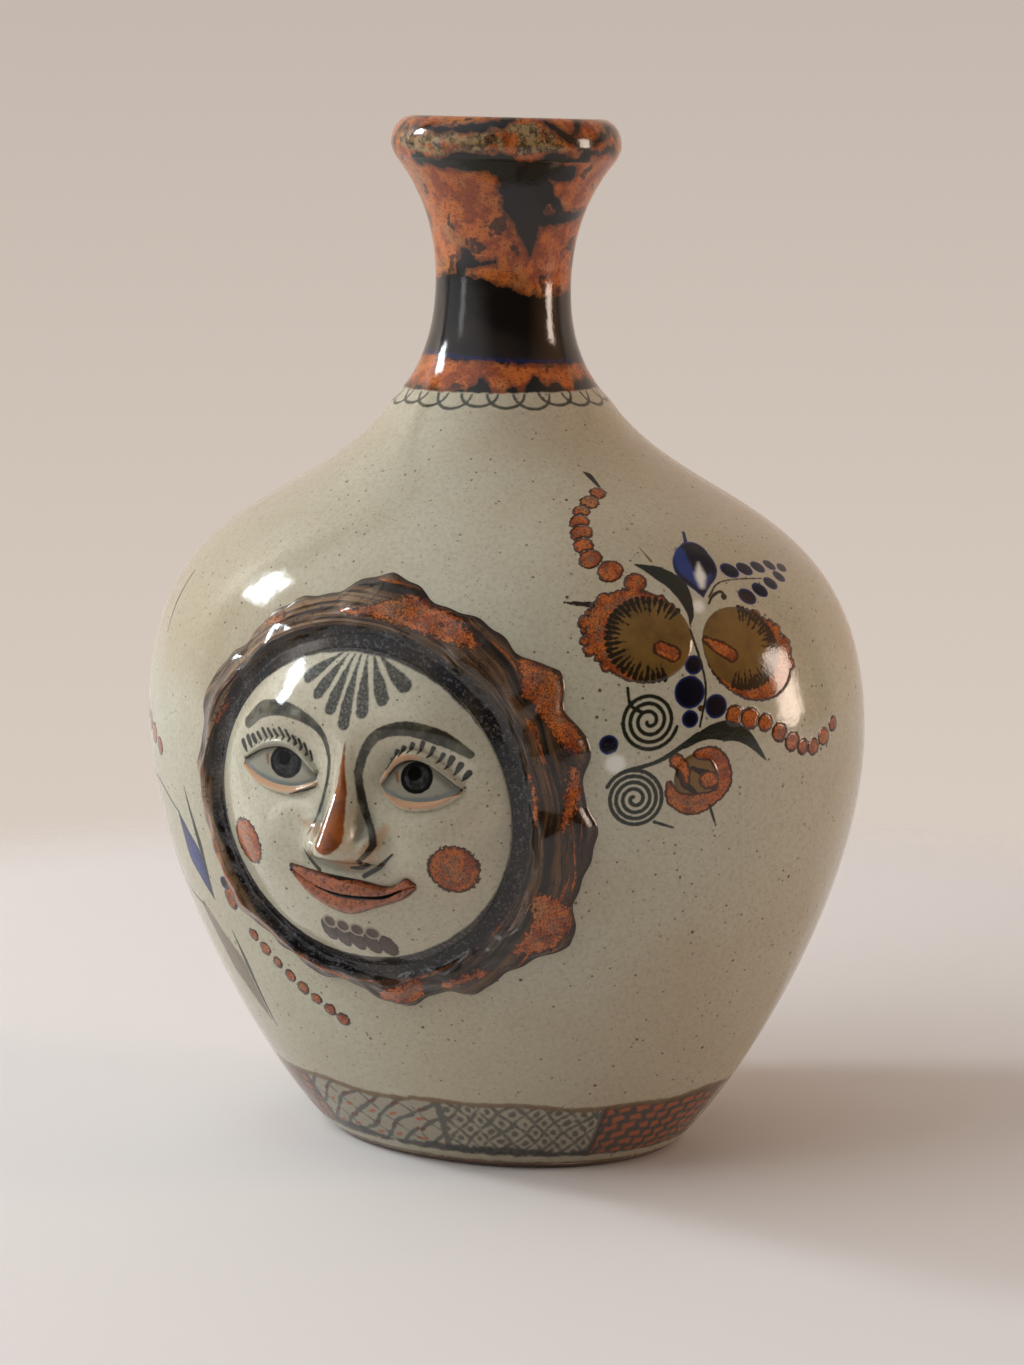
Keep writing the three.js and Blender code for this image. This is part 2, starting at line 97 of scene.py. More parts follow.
# The neck was set by hand and leans a little
LEAN = tan(radians(1.3))
LEAN_FOOT = 200
LEAN_EASE = 20
LEAN_WAY = np.array([cos(radians(27)), sin(radians(27))])

# How deep relief pieces reach into the body, and the farthest distance that an ink records
SUNK = -0.7
FAR = 4.0
CURVE_STEPS = 500


def bezier(*points):
    t = np.linspace(0, 1, CURVE_STEPS)[:, None]
    a, b, c, d = np.array(points, float)
    return (1 - t) ** 3 * a + 3 * (1 - t) ** 2 * t * b + 3 * (1 - t) * t ** 2 * c + t ** 3 * d


def vessel_profile():
    """Half width, half depth and height of the outside, from the foot to the rim's seat."""
    def ring(radius, height, run=0.0, slope=0.0):
        radius -= run * sin(slope)
        return radius, radius, height + run * cos(slope)

    belly = (*BELLY, BELLY_HEIGHT)
    collar = ring(COLLAR_RADIUS, COLLAR_HEIGHT)
    waist = ring(WAIST_RADIUS, WAIST_HEIGHT)
    return np.vstack([
        bezier((*FOOT, 0), (FOOT[0] + FOOT_ROUNDING, FOOT[1] + FOOT_ROUNDING, 0),
               (*BELLY, BELLY_HEIGHT - BELLY_CURVE_RISE), belly),
        bezier(belly, (*BELLY, BELLY_HEIGHT + SHOULDER_CURVE_RISE),
               ring(COLLAR_RADIUS, COLLAR_HEIGHT, -COLLAR_SWEEP, COLLAR_SLOPE), collar),
        bezier(collar, ring(COLLAR_RADIUS, COLLAR_HEIGHT, COLLAR_RUN, COLLAR_SLOPE),
               ring(WAIST_RADIUS, WAIST_HEIGHT - WAIST_CURVE_RISE), waist),
        bezier(waist, ring(WAIST_RADIUS, WAIST_HEIGHT + FLARE_CURVE_RISE),
               ring(FLARE_RADIUS, RIM_SEAT, -FLARE_SWEEP, -FLARE_SLOPE), ring(FLARE_RADIUS, RIM_SEAT)),
    ])


PROFILE = vessel_profile()


def half_sizes(height):
    return [np.interp(height, PROFILE[:, 2], PROFILE[:, k]) for k in (0, 1)]


def on_body(turn, height, inward=0.0):
    """Point of the vessel's outside, or that far inside it."""
    wide, deep = half_sizes(height)
    angle = np.radians(turn)
    x = (wide - inward) * np.sin(angle)
    y = -(deep - inward) * np.cos(angle)
    return np.stack(np.broadcast_arrays(x, y, height), axis=-1).astype(float)


def heights_along(low, high, count):
    """Heights whose places on the outside are evenly spaced along its curve."""
    part = PROFILE[(PROFILE[:, 2] >= low) & (PROFILE[:, 2] <= high)]
    z = np.concatenate([[low], part[:, 2], [high]])
    run = np.concatenate([[0], np.cumsum(np.hypot(np.diff(half_sizes(z)[0]), np.diff(z)))])
    return np.interp(np.linspace(0, run[-1], count), run, z)


def on_face(across, up, lift):
    """Point of the sun face, lifted off the body's front."""
    x = FACE_X + across * cos(FACE_TURN) + up * sin(FACE_TURN)
    z = FACE_Z - across * sin(FACE_TURN) + up * cos(FACE_TURN)
    wide, deep = half_sizes(z)
    y = -(deep * np.sqrt(np.maximum(0, 1 - (x / wide) ** 2)) + lift)
    return np.stack([x, y, z], axis=-1)


def flowing(points, count=60):
    """Smooth line through the given points (Catmull-Rom)."""
    p = np.array(points, float)
    p = np.vstack([2 * p[0] - p[1], p, 2 * p[-1] - p[-2]])
    place = np.linspace(0, len(p) - 3 - 1e-6, count)
    k = place.astype(int)
    t = (place - k)[:, None]
    a, b, c, d = p[k], p[k + 1], p[k + 2], p[k + 3]
    return 0.5 * (2 * b + (c - a) * t + (2 * a - 5 * b + 4 * c - d) * t ** 2
                  + (3 * b - a - 3 * c + d) * t ** 3)


def spaced(points, count):
    """Evenly spaced places on the smooth line through the given points."""
    line = flowing(points, 200)
    run = np.append(0, np.cumsum(np.linalg.norm(np.diff(line, axis=0), axis=1)))
    even = np.linspace(0, run[-1], count)
    return np.stack([np.interp(even, run, line[:, axis]) for axis in (0, 1)], -1)


def polar(degrees, away):
    turn = np.radians(degrees)
    return np.stack([away * np.cos(turn), away * np.sin(turn)], -1)


def wrapped(turn, start):
    """The same turn in degrees, counted from a start."""
    return (turn - start) % 360 + start


def hump(value, centre, spread):
    return np.exp(-((value - centre) / spread) ** 2 / 2)


def bump(across, up, centre, spread):
    return hump(across, centre[0], spread[0]) * hump(up, centre[1], spread[1])


def step(value, low, high):
    t = np.clip((value - low) / (high - low), 0, 1)
    return t * t * (3 - 2 * t)


def waves(along, *terms):
    """Uneven hand: a sum of waves with their height, rate and start."""
    return sum(height * np.sin(rate * along + start) for height, rate, start in terms)


def line_distance(places, line, halves):
    """Distance to a line whose half width changes along it between the given values."""
    halves = np.interp(np.linspace(0, 1, len(line)), np.linspace(0, 1, len(halves)), halves)
    best = np.full(len(places), 1e3)
    for a, b, start, end in zip(line[:-1], line[1:], halves[:-1], halves[1:]):
        run = b - a
        t = np.clip((places - a) @ run / max(run @ run, 1e-9), 0, 1)
        away = np.linalg.norm(places - a - t[:, None] * run, axis=1)
        best = np.minimum(best, away - start - t * (end - start))
    return best


def oval_distance(places, centre, across, up, tilt=0.0):
    q = places - np.array(centre, float)
    c, s = cos(radians(tilt)), sin(radians(tilt))
    q = np.stack([q[:, 0] * c + q[:, 1] * s, q[:, 1] * c - q[:, 0] * s], -1)
    share = np.linalg.norm(q / (across, up), axis=1)
    slope = np.linalg.norm(q / (across ** 2, up ** 2), axis=1)
    return share * (share - 1) / np.maximum(slope, 1e-6)


class Sheet:
    """Flat map of a painted surface with its inks."""

    def __init__(self, places, names):
        self.places = np.asarray(places, float)
        self.inks = {name: np.full(len(self.places), FAR) for name in names}

    def lay(self, ink, distance, near=slice(None), over=False):
        """Join a shape to an ink; one laid over the others keeps its own edge on top of them."""
        distance = np.clip(distance, -FAR, FAR)
        joined = np.minimum(self.inks[ink][near], distance)
        if over:
            joined = np.where(distance < 0, distance, np.maximum(joined, -distance))
        self.inks[ink][near] = joined

    def near(self, shape, reach):
        low, high = np.min(shape, 0) - reach, np.max(shape, 0) + reach
        return np.flatnonzero(np.all((self.places > low) & (self.places < high), axis=1))

    def line(self, ink, points, halves):
        line = flowing(points)
        near = self.near(line, max(halves) + FAR)
        self.lay(ink, line_distance(self.places[near], line, halves), near)

    def oval(self, ink, centre, across, up):
        near = self.near([centre], max(across, up) + FAR)
        self.lay(ink, oval_distance(self.places[near], centre, across, up), near)


FRINGE_STROKES = 30
FRINGE_HALVES = (0.7, 0.12)
SPIRAL_STEPS = 120
SPIRAL_HEART = 0.6


class BodySheet(Sheet):
    """The same on the oval body: a shape is drawn in the plane that touches the body at its middle."""

    def local(self, turn, height, reach):
        centre = on_body(turn, height)
        across = on_body(turn + 0.5, height) - on_body(turn - 0.5, height)
        rise = on_body(turn, height + 0.5) - on_body(turn, height - 0.5)
        axes = np.stack([across / np.linalg.norm(across), rise / np.linalg.norm(rise)], -1)
        near = np.flatnonzero(np.linalg.norm(self.places - centre, axis=1) < reach)
        return centre, axes, near, (self.places[near] - centre) @ axes

    def line(self, ink, points, halves):
        points = np.array(points, float)
        solid = on_body(points[:, 0], points[:, 1])
        middle = points.mean(0)
        reach = np.linalg.norm(solid - on_body(*middle), axis=1).max() + max(halves) + FAR
        centre, axes, near, places = self.local(*middle, reach)
        self.lay(ink, line_distance(places, flowing((solid - centre) @ axes), halves), near)

    def oval(self, ink, centre, across, up, tilt=0.0, over=False):
        _, _, near, places = self.local(*centre, max(across, up) + FAR)
        self.lay(ink, oval_distance(places, (0, 0), across, up, tilt), near, over)

    def spiral(self, ink, centre, radius, rounds, start, half):
        share = np.linspace(0, 1, SPIRAL_STEPS)
        line = polar(360 * rounds * share + start, SPIRAL_HEART + (radius - SPIRAL_HEART) * share ** 0.85)
        _, _, near, places = self.local(*centre, radius + FAR)
        self.lay(ink, line_distance(places, line, [half, half]), near)

    def fringe(self, ink, centre, halves, tilt, toward, spread):
        """Short strokes that run in from the edge of an oval, round one side of it."""
        _, _, near, places = self.local(*centre, max(halves) + FAR)
        lean = radians(tilt)
        turned = np.array([[cos(lean), sin(lean)], [-sin(lean), cos(lean)]])
        angles = np.linspace(toward - spread, toward + spread, FRINGE_STROKES) - tilt
        for k, edge in enumerate(polar(angles, 1.0)):
            foot = halves * edge @ turned
            tip = foot * (0.66 - 0.1 * sin(2.7 * k))
            self.lay(ink, line_distance(places, np.array([foot, tip]), FRINGE_HALVES), near)

    def chain(self, ink, string, count, first, last):
        """Round beads along a string, from the first radius to the last."""
        for k, place in enumerate(flowing(string, count)):
            radius = (first + (last - first) * k / (count - 1)) * (1 + 0.09 * sin(2.1 * k))
            self.oval(ink, place, radius, 0.95 * radius, over=True)


# Floral sprays. Strokes: ink, places along the stroke, half widths along the stroke
SPRAY_STROKES = [
    ("line", [(54, 182), (55.2, 181), (55.5, 178.5)], [0.2, 0.9, 0.4]),
    ("fringe", [(34, 154), (38.5, 153.3)], [0.25, 0.9]),
    ("spot", [(48.5, 143), (50.5, 141.5)], [2.0, 2.0]),
    ("spot", [(57, 144.5), (61.4, 140.4)], [0.9, 1.8, 1.9]),
    ("line", [(49.6, 162), (53.5, 159.8), (56, 156.5), (56, 151), (55, 148)], [0.2, 2.0, 2.4, 1.0, 0.2]),
    ("cobalt", [(64.3, 163.3), (62.4, 160.8), (61.2, 158), (60, 154)], [4.4, 6.4, 3.6, 0.2]),
    ("cobalt", [(67, 168), (65, 166)], [0.45, 0.6]),
    ("azure", [(61.5, 164.2), (59.8, 161), (60.6, 157)], [1.4, 2.3, 1.2]),
    ("azure", [(61.4, 156.8), (64.5, 158.6)], [0.9, 0.5]),
    ("white", [(63.7, 161.4), (62, 158.6), (61, 156.5)], [0.1, 1.5, 0.7]),
    ("line", [(60.5, 152.5), (62, 154), (64.3, 154.9), (65, 153.8)], [0.35, 0.45, 0.35]),
    ("line", [(61.2, 154), (66, 157), (77, 156.6)], [0.28, 0.2]),
    ("brown", [(52.8, 165.7), (53.4, 162.5)], [0.1, 0.35]),
    ("line", [(54.7, 147), (55.2, 134), (53.4, 124)], [0.35, 0.3]),
    ("line", [(42, 134), (42.2, 130), (44, 128)], [0.4, 0.5]),
    ("line", [(45.8, 101), (49, 99.3)], [0.45, 0.3]),
    ("line", [(41, 114), (46.5, 116.3), (53, 122)], [0.45, 0.55, 0.8]),
    ("line", [(50.5, 119), (54.2, 122), (58, 122.5), (61.8, 120.5), (66, 114)], [0.3, 1.4, 2.6, 1.8, 0.15]),
    ("fringe", [(49.4, 113.2), (50.7, 110), (52.7, 107.6)], [0.6, 1.0, 0.5]),
    ("fringe", [(51.8, 114), (53.5, 112.8), (54.5, 113)], [0.5, 0.9, 0.5]),
    ("spot", [(53, 117.3), (55.6, 117), (57.4, 113.5), (57.6, 109.4), (56.5, 106.6)], [1.5, 2.2, 2.1, 1.5]),
    ("spot", [(56, 106.6), (53.6, 105.2), (51.2, 105), (48.8, 107), (48, 110.4)], [1.7, 2.6, 2.8, 2.1, 0.9]),
    ("spot", [(49.2, 116), (50.6, 113.7), (50.9, 110.7)], [2.0, 1.5, 0.9]),
    ("line", [(55, 104.5), (56.5, 99)], [0.35, 0.4, 0.2]),
]
LEFT_STROKES = [
    ("line", [(-60, 97), (-52, 97), (-43, 91)], [0.5, 0.45, 0.3]),
    ("line", [(-64, 76), (-54, 69), (-44, 65)], [0.6, 0.5, 0.4]),
    ("line", [(-38.4, 99), (-36.6, 84), (-37.3, 68.5)], [0.2, 1.1, 0.2]),
    ("cobalt", [(-43, 91), (-40, 80), (-37.4, 69)], [0.3, 4.4, 0.3]),
    ("azure", [(-42.4, 88), (-40, 80), (-38, 71.5)], [0.2, 3.4, 0.3]),
    ("spot", [(-40.2, 79), (-38.8, 74.5)], [0.6, 1.3]),
    ("wash", [(-44, 65), (-38.2, 50), (-35, 36)], [1.5, 5.0, 0.3]),
    ("line", [(-34.5, 61), (-33.8, 52), (-34, 34)], [0.2, 0.8, 0.2]),
    ("line", [(-50.4, 153), (-50.6, 145), (-49.8, 137)], [0.3, 0.5, 0.2]),
]
# Ovals: ink, place, half width, half height
SPRAY_OVALS = [
    ("white", (58, 152), 1.7, 1.6),
    ("line", (64.5, 153.7), 0.9, 0.9),
    ("cobalt", (86.5, 158), 2.0, 1.4),
    ("cobalt", (53.7, 138.8), 2.4, 2.4),
    ("cobalt", (52.2, 132.4), 4.0, 4.0),
    ("cobalt", (56.6, 128.6), 3.0, 3.0),
    ("cobalt", (51.8, 126), 2.2, 2.2),
    ("cobalt", (38.5, 120.5), 2.4, 2.4),
    ("white", (39.5, 115.8), 2.5, 2.4),
    ("spot", (53.9, 128.4), 0.8, 0.8),
    ("brown", (52.7, 111), 6.0, 6.5),
    ("spot", (54.8, 110.7), 2.8, 2.4),
]
LEFT_OVALS = [("cobalt", (-31.3, 75), 1.8, 1.9), ("orange", (-30.6, 71), 2.7, 3.3)]
# Chains: places along the string, number of beads, first and last radius
SPRAY_CHAINS = [
    ([(53.5, 177.3), (45, 173.5), (42, 169), (41.2, 163.5), (47.8, 158)], 9, 2.4, 3.3),
    ([(60, 126), (66, 123.5), (72, 117.8), (77.5, 115.6), (84, 120)], 9, 2.8, 2.3),
]
LEFT_CHAINS = [
    ([(-27, 62), (-19, 51), (-10, 42.5)], 8, 2.0, 2.0),
    ([(-68, 117), (-58, 113), (-48.5, 107)], 6, 2.6, 2.8),
]
# Spirals: place, radius, rounds, direction of the start
SPIRALS = [((45, 126), 7.2, 3.4, 200), ((42.5, 107), 7.4, 4.1, 120)]
SPIRAL_HALF = 0.5
# Pair of blossoms: places of cup and heart, direction and spread of the strokes in the heart
BLOSSOMS = [((45.3, 146.4), (47.1, 145.4), 160, 122), ((65.3, 140.3), (63.8, 142.2), -22, 95)]
BLOSSOM_CUP = (13.9, 11.0)
BLOSSOM_HEART = (11.3, 9.8)
BLOSSOM_TILT = -37
LOBES = 19
LOBE_REACH = (0.66, 0.85)
LOBE_SIZE = 1.4
LOBE_UNEVEN = 0.5
# Berries in pairs along a stem: first place, step, gap and how it closes
BERRY_PAIRS = 4
BERRY_START = (70, 156.2)
BERRY_STEP = (4.3, 0.5)
BERRY_GAP = 3
BERRY_CLOSING = 0.55
BERRY_HALF = (2.9, 2.2)
BERRY_SHRINK = 0.09
BERRY_TILT = -35
# How far the left flank's spray lies round and below the mirror image of the right one
LEFT_MOVE = (-25, 46)
BODY_INKS = ["orange", "brown", "fringe", "spot", "cobalt", "azure", "white", "line", "wash"]


def paint_motifs(sheet, strokes, ovals, chains, place=tuple):
    for ink, points, halves in strokes:
        sheet.line(ink, [place(point) for point in points], halves)
    for ink, centre, across, up in ovals:
        sheet.oval(ink, place(centre), across, up)
    for string, count, first, last in chains:
        sheet.chain("orange", [place(point) for point in string], count, first, last)


def paint_blossom(sheet, cup, heart, tilt, toward, spread):
    """Round flower: an orange cup with a lobed edge, and a brown heart with dark strokes in it."""
    sheet.oval("orange", cup, *BLOSSOM_CUP, tilt)
    reach = np.array(LOBE_REACH) * BLOSSOM_CUP
    for k, way in enumerate(polar(np.linspace(toward - spread, toward + spread, LOBES), 1.0)):
        size = LOBE_SIZE + LOBE_UNEVEN * sin(2.3 * k)
        sheet.oval("orange", cup + reach * way, size, size)
    sheet.oval("brown", heart, *BLOSSOM_HEART, tilt)
    sheet.fringe("fringe", heart, BLOSSOM_HEART, tilt, toward, spread)


def paint_spray(sheet, side, shift, drop):
    """The right flank's spray, or its mirror image moved round and down the body."""
    def place(point):
        return side * point[0] + shift, point[1] - drop

    def way(angle):
        return angle if side > 0 else 180 - angle

    paint_motifs(sheet, SPRAY_STROKES, SPRAY_OVALS, SPRAY_CHAINS, place)
    for centre, radius, rounds, start in SPIRALS:
        sheet.spiral("line", place(centre), radius, rounds, way(start), SPIRAL_HALF)
    for cup, heart, toward, spread in BLOSSOMS:
        paint_blossom(sheet, place(cup), place(heart), side * BLOSSOM_TILT, way(toward), spread)
    for k in range(BERRY_PAIRS):
        half = np.array(BERRY_HALF) * (1 - BERRY_SHRINK * k)
        turn, height = np.array(BERRY_START) + np.array(BERRY_STEP) * k
        gap = BERRY_GAP - BERRY_CLOSING * k
        for rise in (gap, -gap):
            sheet.oval("cobalt", place((turn, height + rise)), *half, side * BERRY_TILT)


def spray_inks(places):
    sheet = BodySheet(places, BODY_INKS)
    paint_spray(sheet, 1, 0, 0)
    paint_spray(sheet, -1, *LEFT_MOVE)
    paint_motifs(sheet, LEFT_STROKES, LEFT_OVALS, LEFT_CHAINS)
    return sheet.inks


# Painted band round the foot, its panels in degrees
BAND_TOP = 20.8
BAND_FOOT = 4.6
BAND_ROUND = 52.0
PANEL = 40.0
FIRST_PANEL = -33.0
STROKE_PITCH = 6.4
CROSS_PITCH = 9.0
DAB_RISE = 3.4
LATTICE_PITCH = 3.9
LATTICE_WAY = (0.78, 0.62)
DASH = (4.4, 2.7)
DARK_TOP = 6.8
FOOT_LINE = 2.1
CLAY_TOP = 1.7


def stripes(across, pitch, half=0.0):
    return np.abs(across / pitch - np.round(across / pitch)) * pitch - half


def cells(across, up, wide, tall):
    """Place within the nearest cell of a brick pattern."""
    row = np.round(up / tall)
    shifted = across / wide + 0.5 * np.mod(row, 2)
    return (shifted - np.round(shifted)) * wide, up - row * tall


def paint_band(turn, height):
    """Panels of slanting strokes, of dotted lattice and of red dashes on black, in turn round the foot."""
    along = np.radians(turn) * BAND_ROUND
    wave = waves(along, (0.5, 1 / 9, 0), (0.35, 1 / 3.7, 1))
    top = BAND_TOP + wave
    inside = np.maximum(height - top, BAND_FOOT - height)
    place = np.mod(turn - FIRST_PANEL, 3 * PANEL) / PANEL
    panel = np.floor(place)
    loose = along + 0.4 * np.sin(height / 1.9 + along / 5) + 0.4 * np.sin(along / 2.3)
    tilt = height + 0.4 * np.sin(along / 2.9)
    # Lattice and the dots in its meshes
    over, rise = LATTICE_WAY
    ways = [over * loose + rise * tilt, over * loose - rise * tilt]
    dots = np.hypot(*(stripes(way + LATTICE_PITCH / 2, LATTICE_PITCH) for way in ways)) - 0.8
    lattice = np.minimum(dots, np.minimum(*(stripes(way, LATTICE_PITCH, 0.45) for way in ways)))
    # Slanting strokes with red dabs between them
    slant = loose - 1.2 * tilt
    strokes = np.minimum(stripes(slant, STROKE_PITCH, 0.8), stripes(loose + tilt, CROSS_PITCH, 0.3))
    x, y = cells(slant + STROKE_PITCH / 2, tilt - 1, STROKE_PITCH, DAB_RISE)
    dabs = np.hypot(x, y * 1.5) - 1.0
    # Rows of red dashes
    x, y = cells(loose + 0.35 * tilt, tilt, *DASH)
    dashes = np.maximum(np.abs(x) - 1.5, np.abs(y - 0.2 * x) - 0.8)
    ends = 0.9 * PANEL * np.abs(place - np.round(place)) - 0.9
    hatch = np.minimum(np.select([panel == 0, panel == 1], [strokes, lattice], FAR), ends)
    red = np.select([panel == 0, panel == 2], [dabs, dashes], FAR)
    dark_foot = np.maximum(height - DARK_TOP - wave, BAND_FOOT - height)
    inks = {
        "band": inside,
        "night": np.minimum(np.where(panel == 2, inside, FAR), dark_foot),
        "border": np.minimum(np.abs(height - top) - 0.75, np.abs(height - FOOT_LINE) - 0.35),
        "hatch": np.maximum(hatch, inside),
        "dab": np.maximum(red, inside + 0.6),
        "foot": height - CLAY_TOP - 0.3 * wave,
    }
    return {name: np.clip(value, -FAR, FAR) for name, value in inks.items()}


# Sun face: lines as (across, up), with half widths for those that are painted
EYE_UP = 10.6
UPPER_LIDS = [
    [(-30, 10), (-23, 14), (-15, 15), (-6.5, 10)],
    [(11.5, 9.3), (15.5, 14.8), (21, 15.6), (30, 9.4)],
]
LOWER_LIDS = [
    [(-30, 9), (-23, 6.3), (-13.5, 5.4), (-6.2, 8)],
    [(12.6, 7.4), (17.5, 5.3), (24, 5.7), (29.6, 8.2)],
]
# Lines along the lids: ink, lid, rise above it, half widths
LID_LINES = [
    ("peach", UPPER_LIDS[1][:3], 0.9, [0.3, 0.9, 0.9, 0.2]),
    ("peach", LOWER_LIDS[1], -0.2, [0.4, 0.9, 0.9, 0.4]),
    ("peach", LOWER_LIDS[0], -0.2, [0.6, 0.9, 0.7, 0.4]),
    ("lash", LOWER_LIDS[0][2:], -1.3, [0.15, 0.4, 0.2]),
    ("grey", UPPER_LIDS[0], 0.3, [0.6, 1.1, 1.1, 0.6]),
    ("grey", UPPER_LIDS[1], 0.2, [0.2, 0.3, 0.9, 0.6]),
    # Under the upper lids the dark line is painted line and painted shadow in one
    ("lash", UPPER_LIDS[0], -0.6, [0.6, 0.5, 0.45, 0.35]),
    ("lash", UPPER_LIDS[1], -0.6, [0.15, 0.3, 0.45, 0.4]),
]
# Irises: place, half width, half height
IRISES = [((-15.9, 11.5), 4.7, 3.6), ((20, 11.5), 3.6, 3.6)]
LASH_COUNTS = (13, 10)
LASH_GAP = 1.7
LASH_LEAN = 1.1
LASH_RISE = 2.3
LASH_HALF = 0.58
OUTER_LASHES = 3
OUTER_LASH_HALF = 0.8
MOUTH_TOP = [
    (-13.4, -13.2), (-5, -14.3), (6, -15), (12.5, -15.9), (15.6, -15.2), (18.4, -13.2), (20.6, -14.6),
]
MOUTH_MIDDLE = [(-13.4, -14.6), (-6, -18.2), (2, -19.5), (12, -18.8), (17.5, -16.4), (20.7, -15.2)]
MOUTH_CORNER = (-13.2, -14.4)
LIP_BOW = [(-3, -14.7), (5, -15.2)]
MOUTH_FOOT = [(-13.6, -15.6), (-8.5, -21.6), (1, -25), (9.5, -22.4), (17, -19.2), (20.5, -16.2)]
FACE_STROKES = [
    ("line", [(-30, 19), (-24, 23.5), (-15, 24.7), (-6, 21.5), (-2.2, 15), (-3, 6), (-6.3, -4.5)],
     [1.5, 2.1, 1.8, 1.0, 0.6, 0.5, 0.25]),
    ("line", [(31.5, 17.5), (25, 21.5), (17, 23.4), (9.5, 20.5), (6.2, 12), (8.7, 1.6), (11.7, -5.5),
              (6.6, -11)],
     [1.0, 2.0, 1.8, 1.3, 0.95, 0.85, 0.7, 0.3]),
    ("lash", [(-8.7, -8.6), (-7.5, -11.4), (-5, -14)], [0.2, 0.5, 0.55]),
    ("lash", [(15.6, -7.4), (12, -11), (7.4, -14)], [0.25, 0.6, 0.6]),
    ("lash", [(4, -12.2), (7, -11.8), (9.6, -10.4)], [0.35, 0.6, 0.5]),
    ("lash", [(-5.2, -9.4), (-2, -10.7)], [0.3, 0.45, 0.2]),
    ("ridge", [(2.6, 19), (2.7, 11), (2.9, 2), (2.9, -3.6)], [0.15, 0.8, 2.4, 3.3]),
    ("blush", [(-4.5, -3), (-9, -2)], [1.2, 0.3]),
    ("blush", [(10.5, -8), (13.5, -1.5)], [1.4, 0.9]),
    ("blush", [(-4, -9), (3, -11), (8, -10)], [1.2, 1.7, 1.7]),
]
# Fan of strokes on the forehead: middle of the feet and of the tips, and their steps
FAN_STROKES = 7
FAN_FOOT = (1.3, 39)
FAN_TIP = (1.5, 23.3)
FAN_STEPS = (1.75, 4.35, 3.2)
FAN_HALVES = [0.2, 0.55, 1.1, 1.55, 1.6]
CHEEK_DOTS = [((29.2, -10.6), 5.2, 6.3), ((-28.4, -10.5), 6.2, 6.1)]
# Dabs on the chin over darker smudges: number, first place, half sizes; both have the same step
CHIN_DABS = 4
CHIN_DAB = ((-4.8, -28), 2.1, 1.9)
CHIN_SMUDGES = 5
CHIN_SMUDGE = ((-6, -30.6), 2.2, 3.3)
CHIN_STEP = 3.8
FACE_INKS = ["line", "lash", "fan", "orange", "ridge", "brown", "peach", "blush", "edge", "grey", "smudge"]
# Hollows narrower than this hold a deeper pool of glaze and darker painted shade
POOL_WIDTH = 9.0
# The pale round that the dark band leaves free is a little less tall than the disc
PALE_UP = 0.8
PALE_HALF = (40.7, 38.6)

# Relief of the disc: height, place and spread of chin, muzzle, eye hollows, cheeks and brows
DISC_EDGE = 3.5
DISC_DOME = 7.6
RELIEF = [
    (1.8, (1, -31), (9, 5)),
    (1.3, (3, -19), (13, 6)),
    (-4.6, (-17.3, 11.5), (9, 5.6)),
    (-4.6, (20.3, 11.5), (9, 5.6)),
    (2.8, (-23, -9), (8, 8)),
    (2.8, (25, -9), (8, 8)),
    (2.1, (-18.3, 24.5), (9, 4)),
    (2.1, (21.3, 24.5), (9, 4)),
]
# The nose: its middle, where it starts and how long it is, its crest, wings and bridge
NOSE_ACROSS = 2.7
NOSE_TOP = 18
NOSE_LENGTH = 24.3
NOSE_FADE = (20.5, 13)
NOSE_UNDERSIDE = (-11.6, -7.4)
CREST_TOP = 7.5
CREST_FOOT = -5.5
CREST_SLOPE = 0.78
WING_ASIDE = 6.5
WING_UP = -6.9
WING_LIFT = 6.0
WING_UNDERSIDE = (-11.6, -8.8)
BRIDGE_LIFT = 1.6
# Coils of the upper and lower lids: rise above the lid's line, radius and fullness
LID_COILS = [(UPPER_LIDS, 0.5, 1.6, 1.4), (LOWER_LIDS, -0.4, 1.35, 1.3)]
COIL_TAPER = (0.35, 0.8, 1, 1, 0.95, 0.75, 0.3)


def disc_lift(across, up):
    """Face disc without nose and lids."""
    share = np.minimum(1, np.hypot(across, up) / DISC_RADIUS)
    dome = DISC_EDGE + DISC_DOME * (1 - 0.35 * share ** 2 - 0.65 * share ** 4)
    relief = sum(height * bump(across, up, place, spread) for height, place, spread in RELIEF)
    return dome + (1 - share ** 6) * relief


def nose_lift(across, up):
    """Nose with a straight, slightly keeled crest between two wings."""
    x = across - NOSE_ACROSS
    down = np.clip((NOSE_TOP - up) / NOSE_LENGTH, 0, 1)
    run = CREST_TOP - np.maximum(up, CREST_FOOT)
    run = (run + np.hypot(run, 2)) / 2
    crest = 0.8 + CREST_SLOPE * run - 0.2 * np.hypot(x, 0.4) - 0.045 * x ** 2
    ridge = np.maximum(0, crest) * np.exp(-np.abs(x / (3.0 + 2.6 * down ** 1.6)) ** 5)
    ridge *= step(up, *NOSE_FADE) * step(up, *NOSE_UNDERSIDE)
    wings = sum(WING_LIFT * bump(x, up, (side * WING_ASIDE, WING_UP), (2.6, 2.8)) for side in (-1, 1))
    bridge = BRIDGE_LIFT * bump(x, up, (0, 11), (4.5, 8))
    return np.hypot(ridge, wings * step(up, *WING_UNDERSIDE)) + bridge


def coil_lift(across, up, line, radius):
    """Half round coil laid along a line, tapering to its ends."""
    places = np.stack([across.ravel(), up.ravel()], -1)
    away = line_distance(places, flowing(line), radius * np.array(COIL_TAPER)) + radius
    return (radius * np.sqrt(np.clip(1 - (away / radius) ** 2, 0, 1))).reshape(across.shape)


def moved(line, rise):
    return [(across, up + rise) for across, up in line]


def face_lift(across, up):
    lift = disc_lift(across, up) + nose_lift(across, up)
    for lids, rise, radius, fullness in LID_COILS:
        lift += fullness * sum(coil_lift(across, up, moved(line, rise), radius) for line in lids)
    return lift


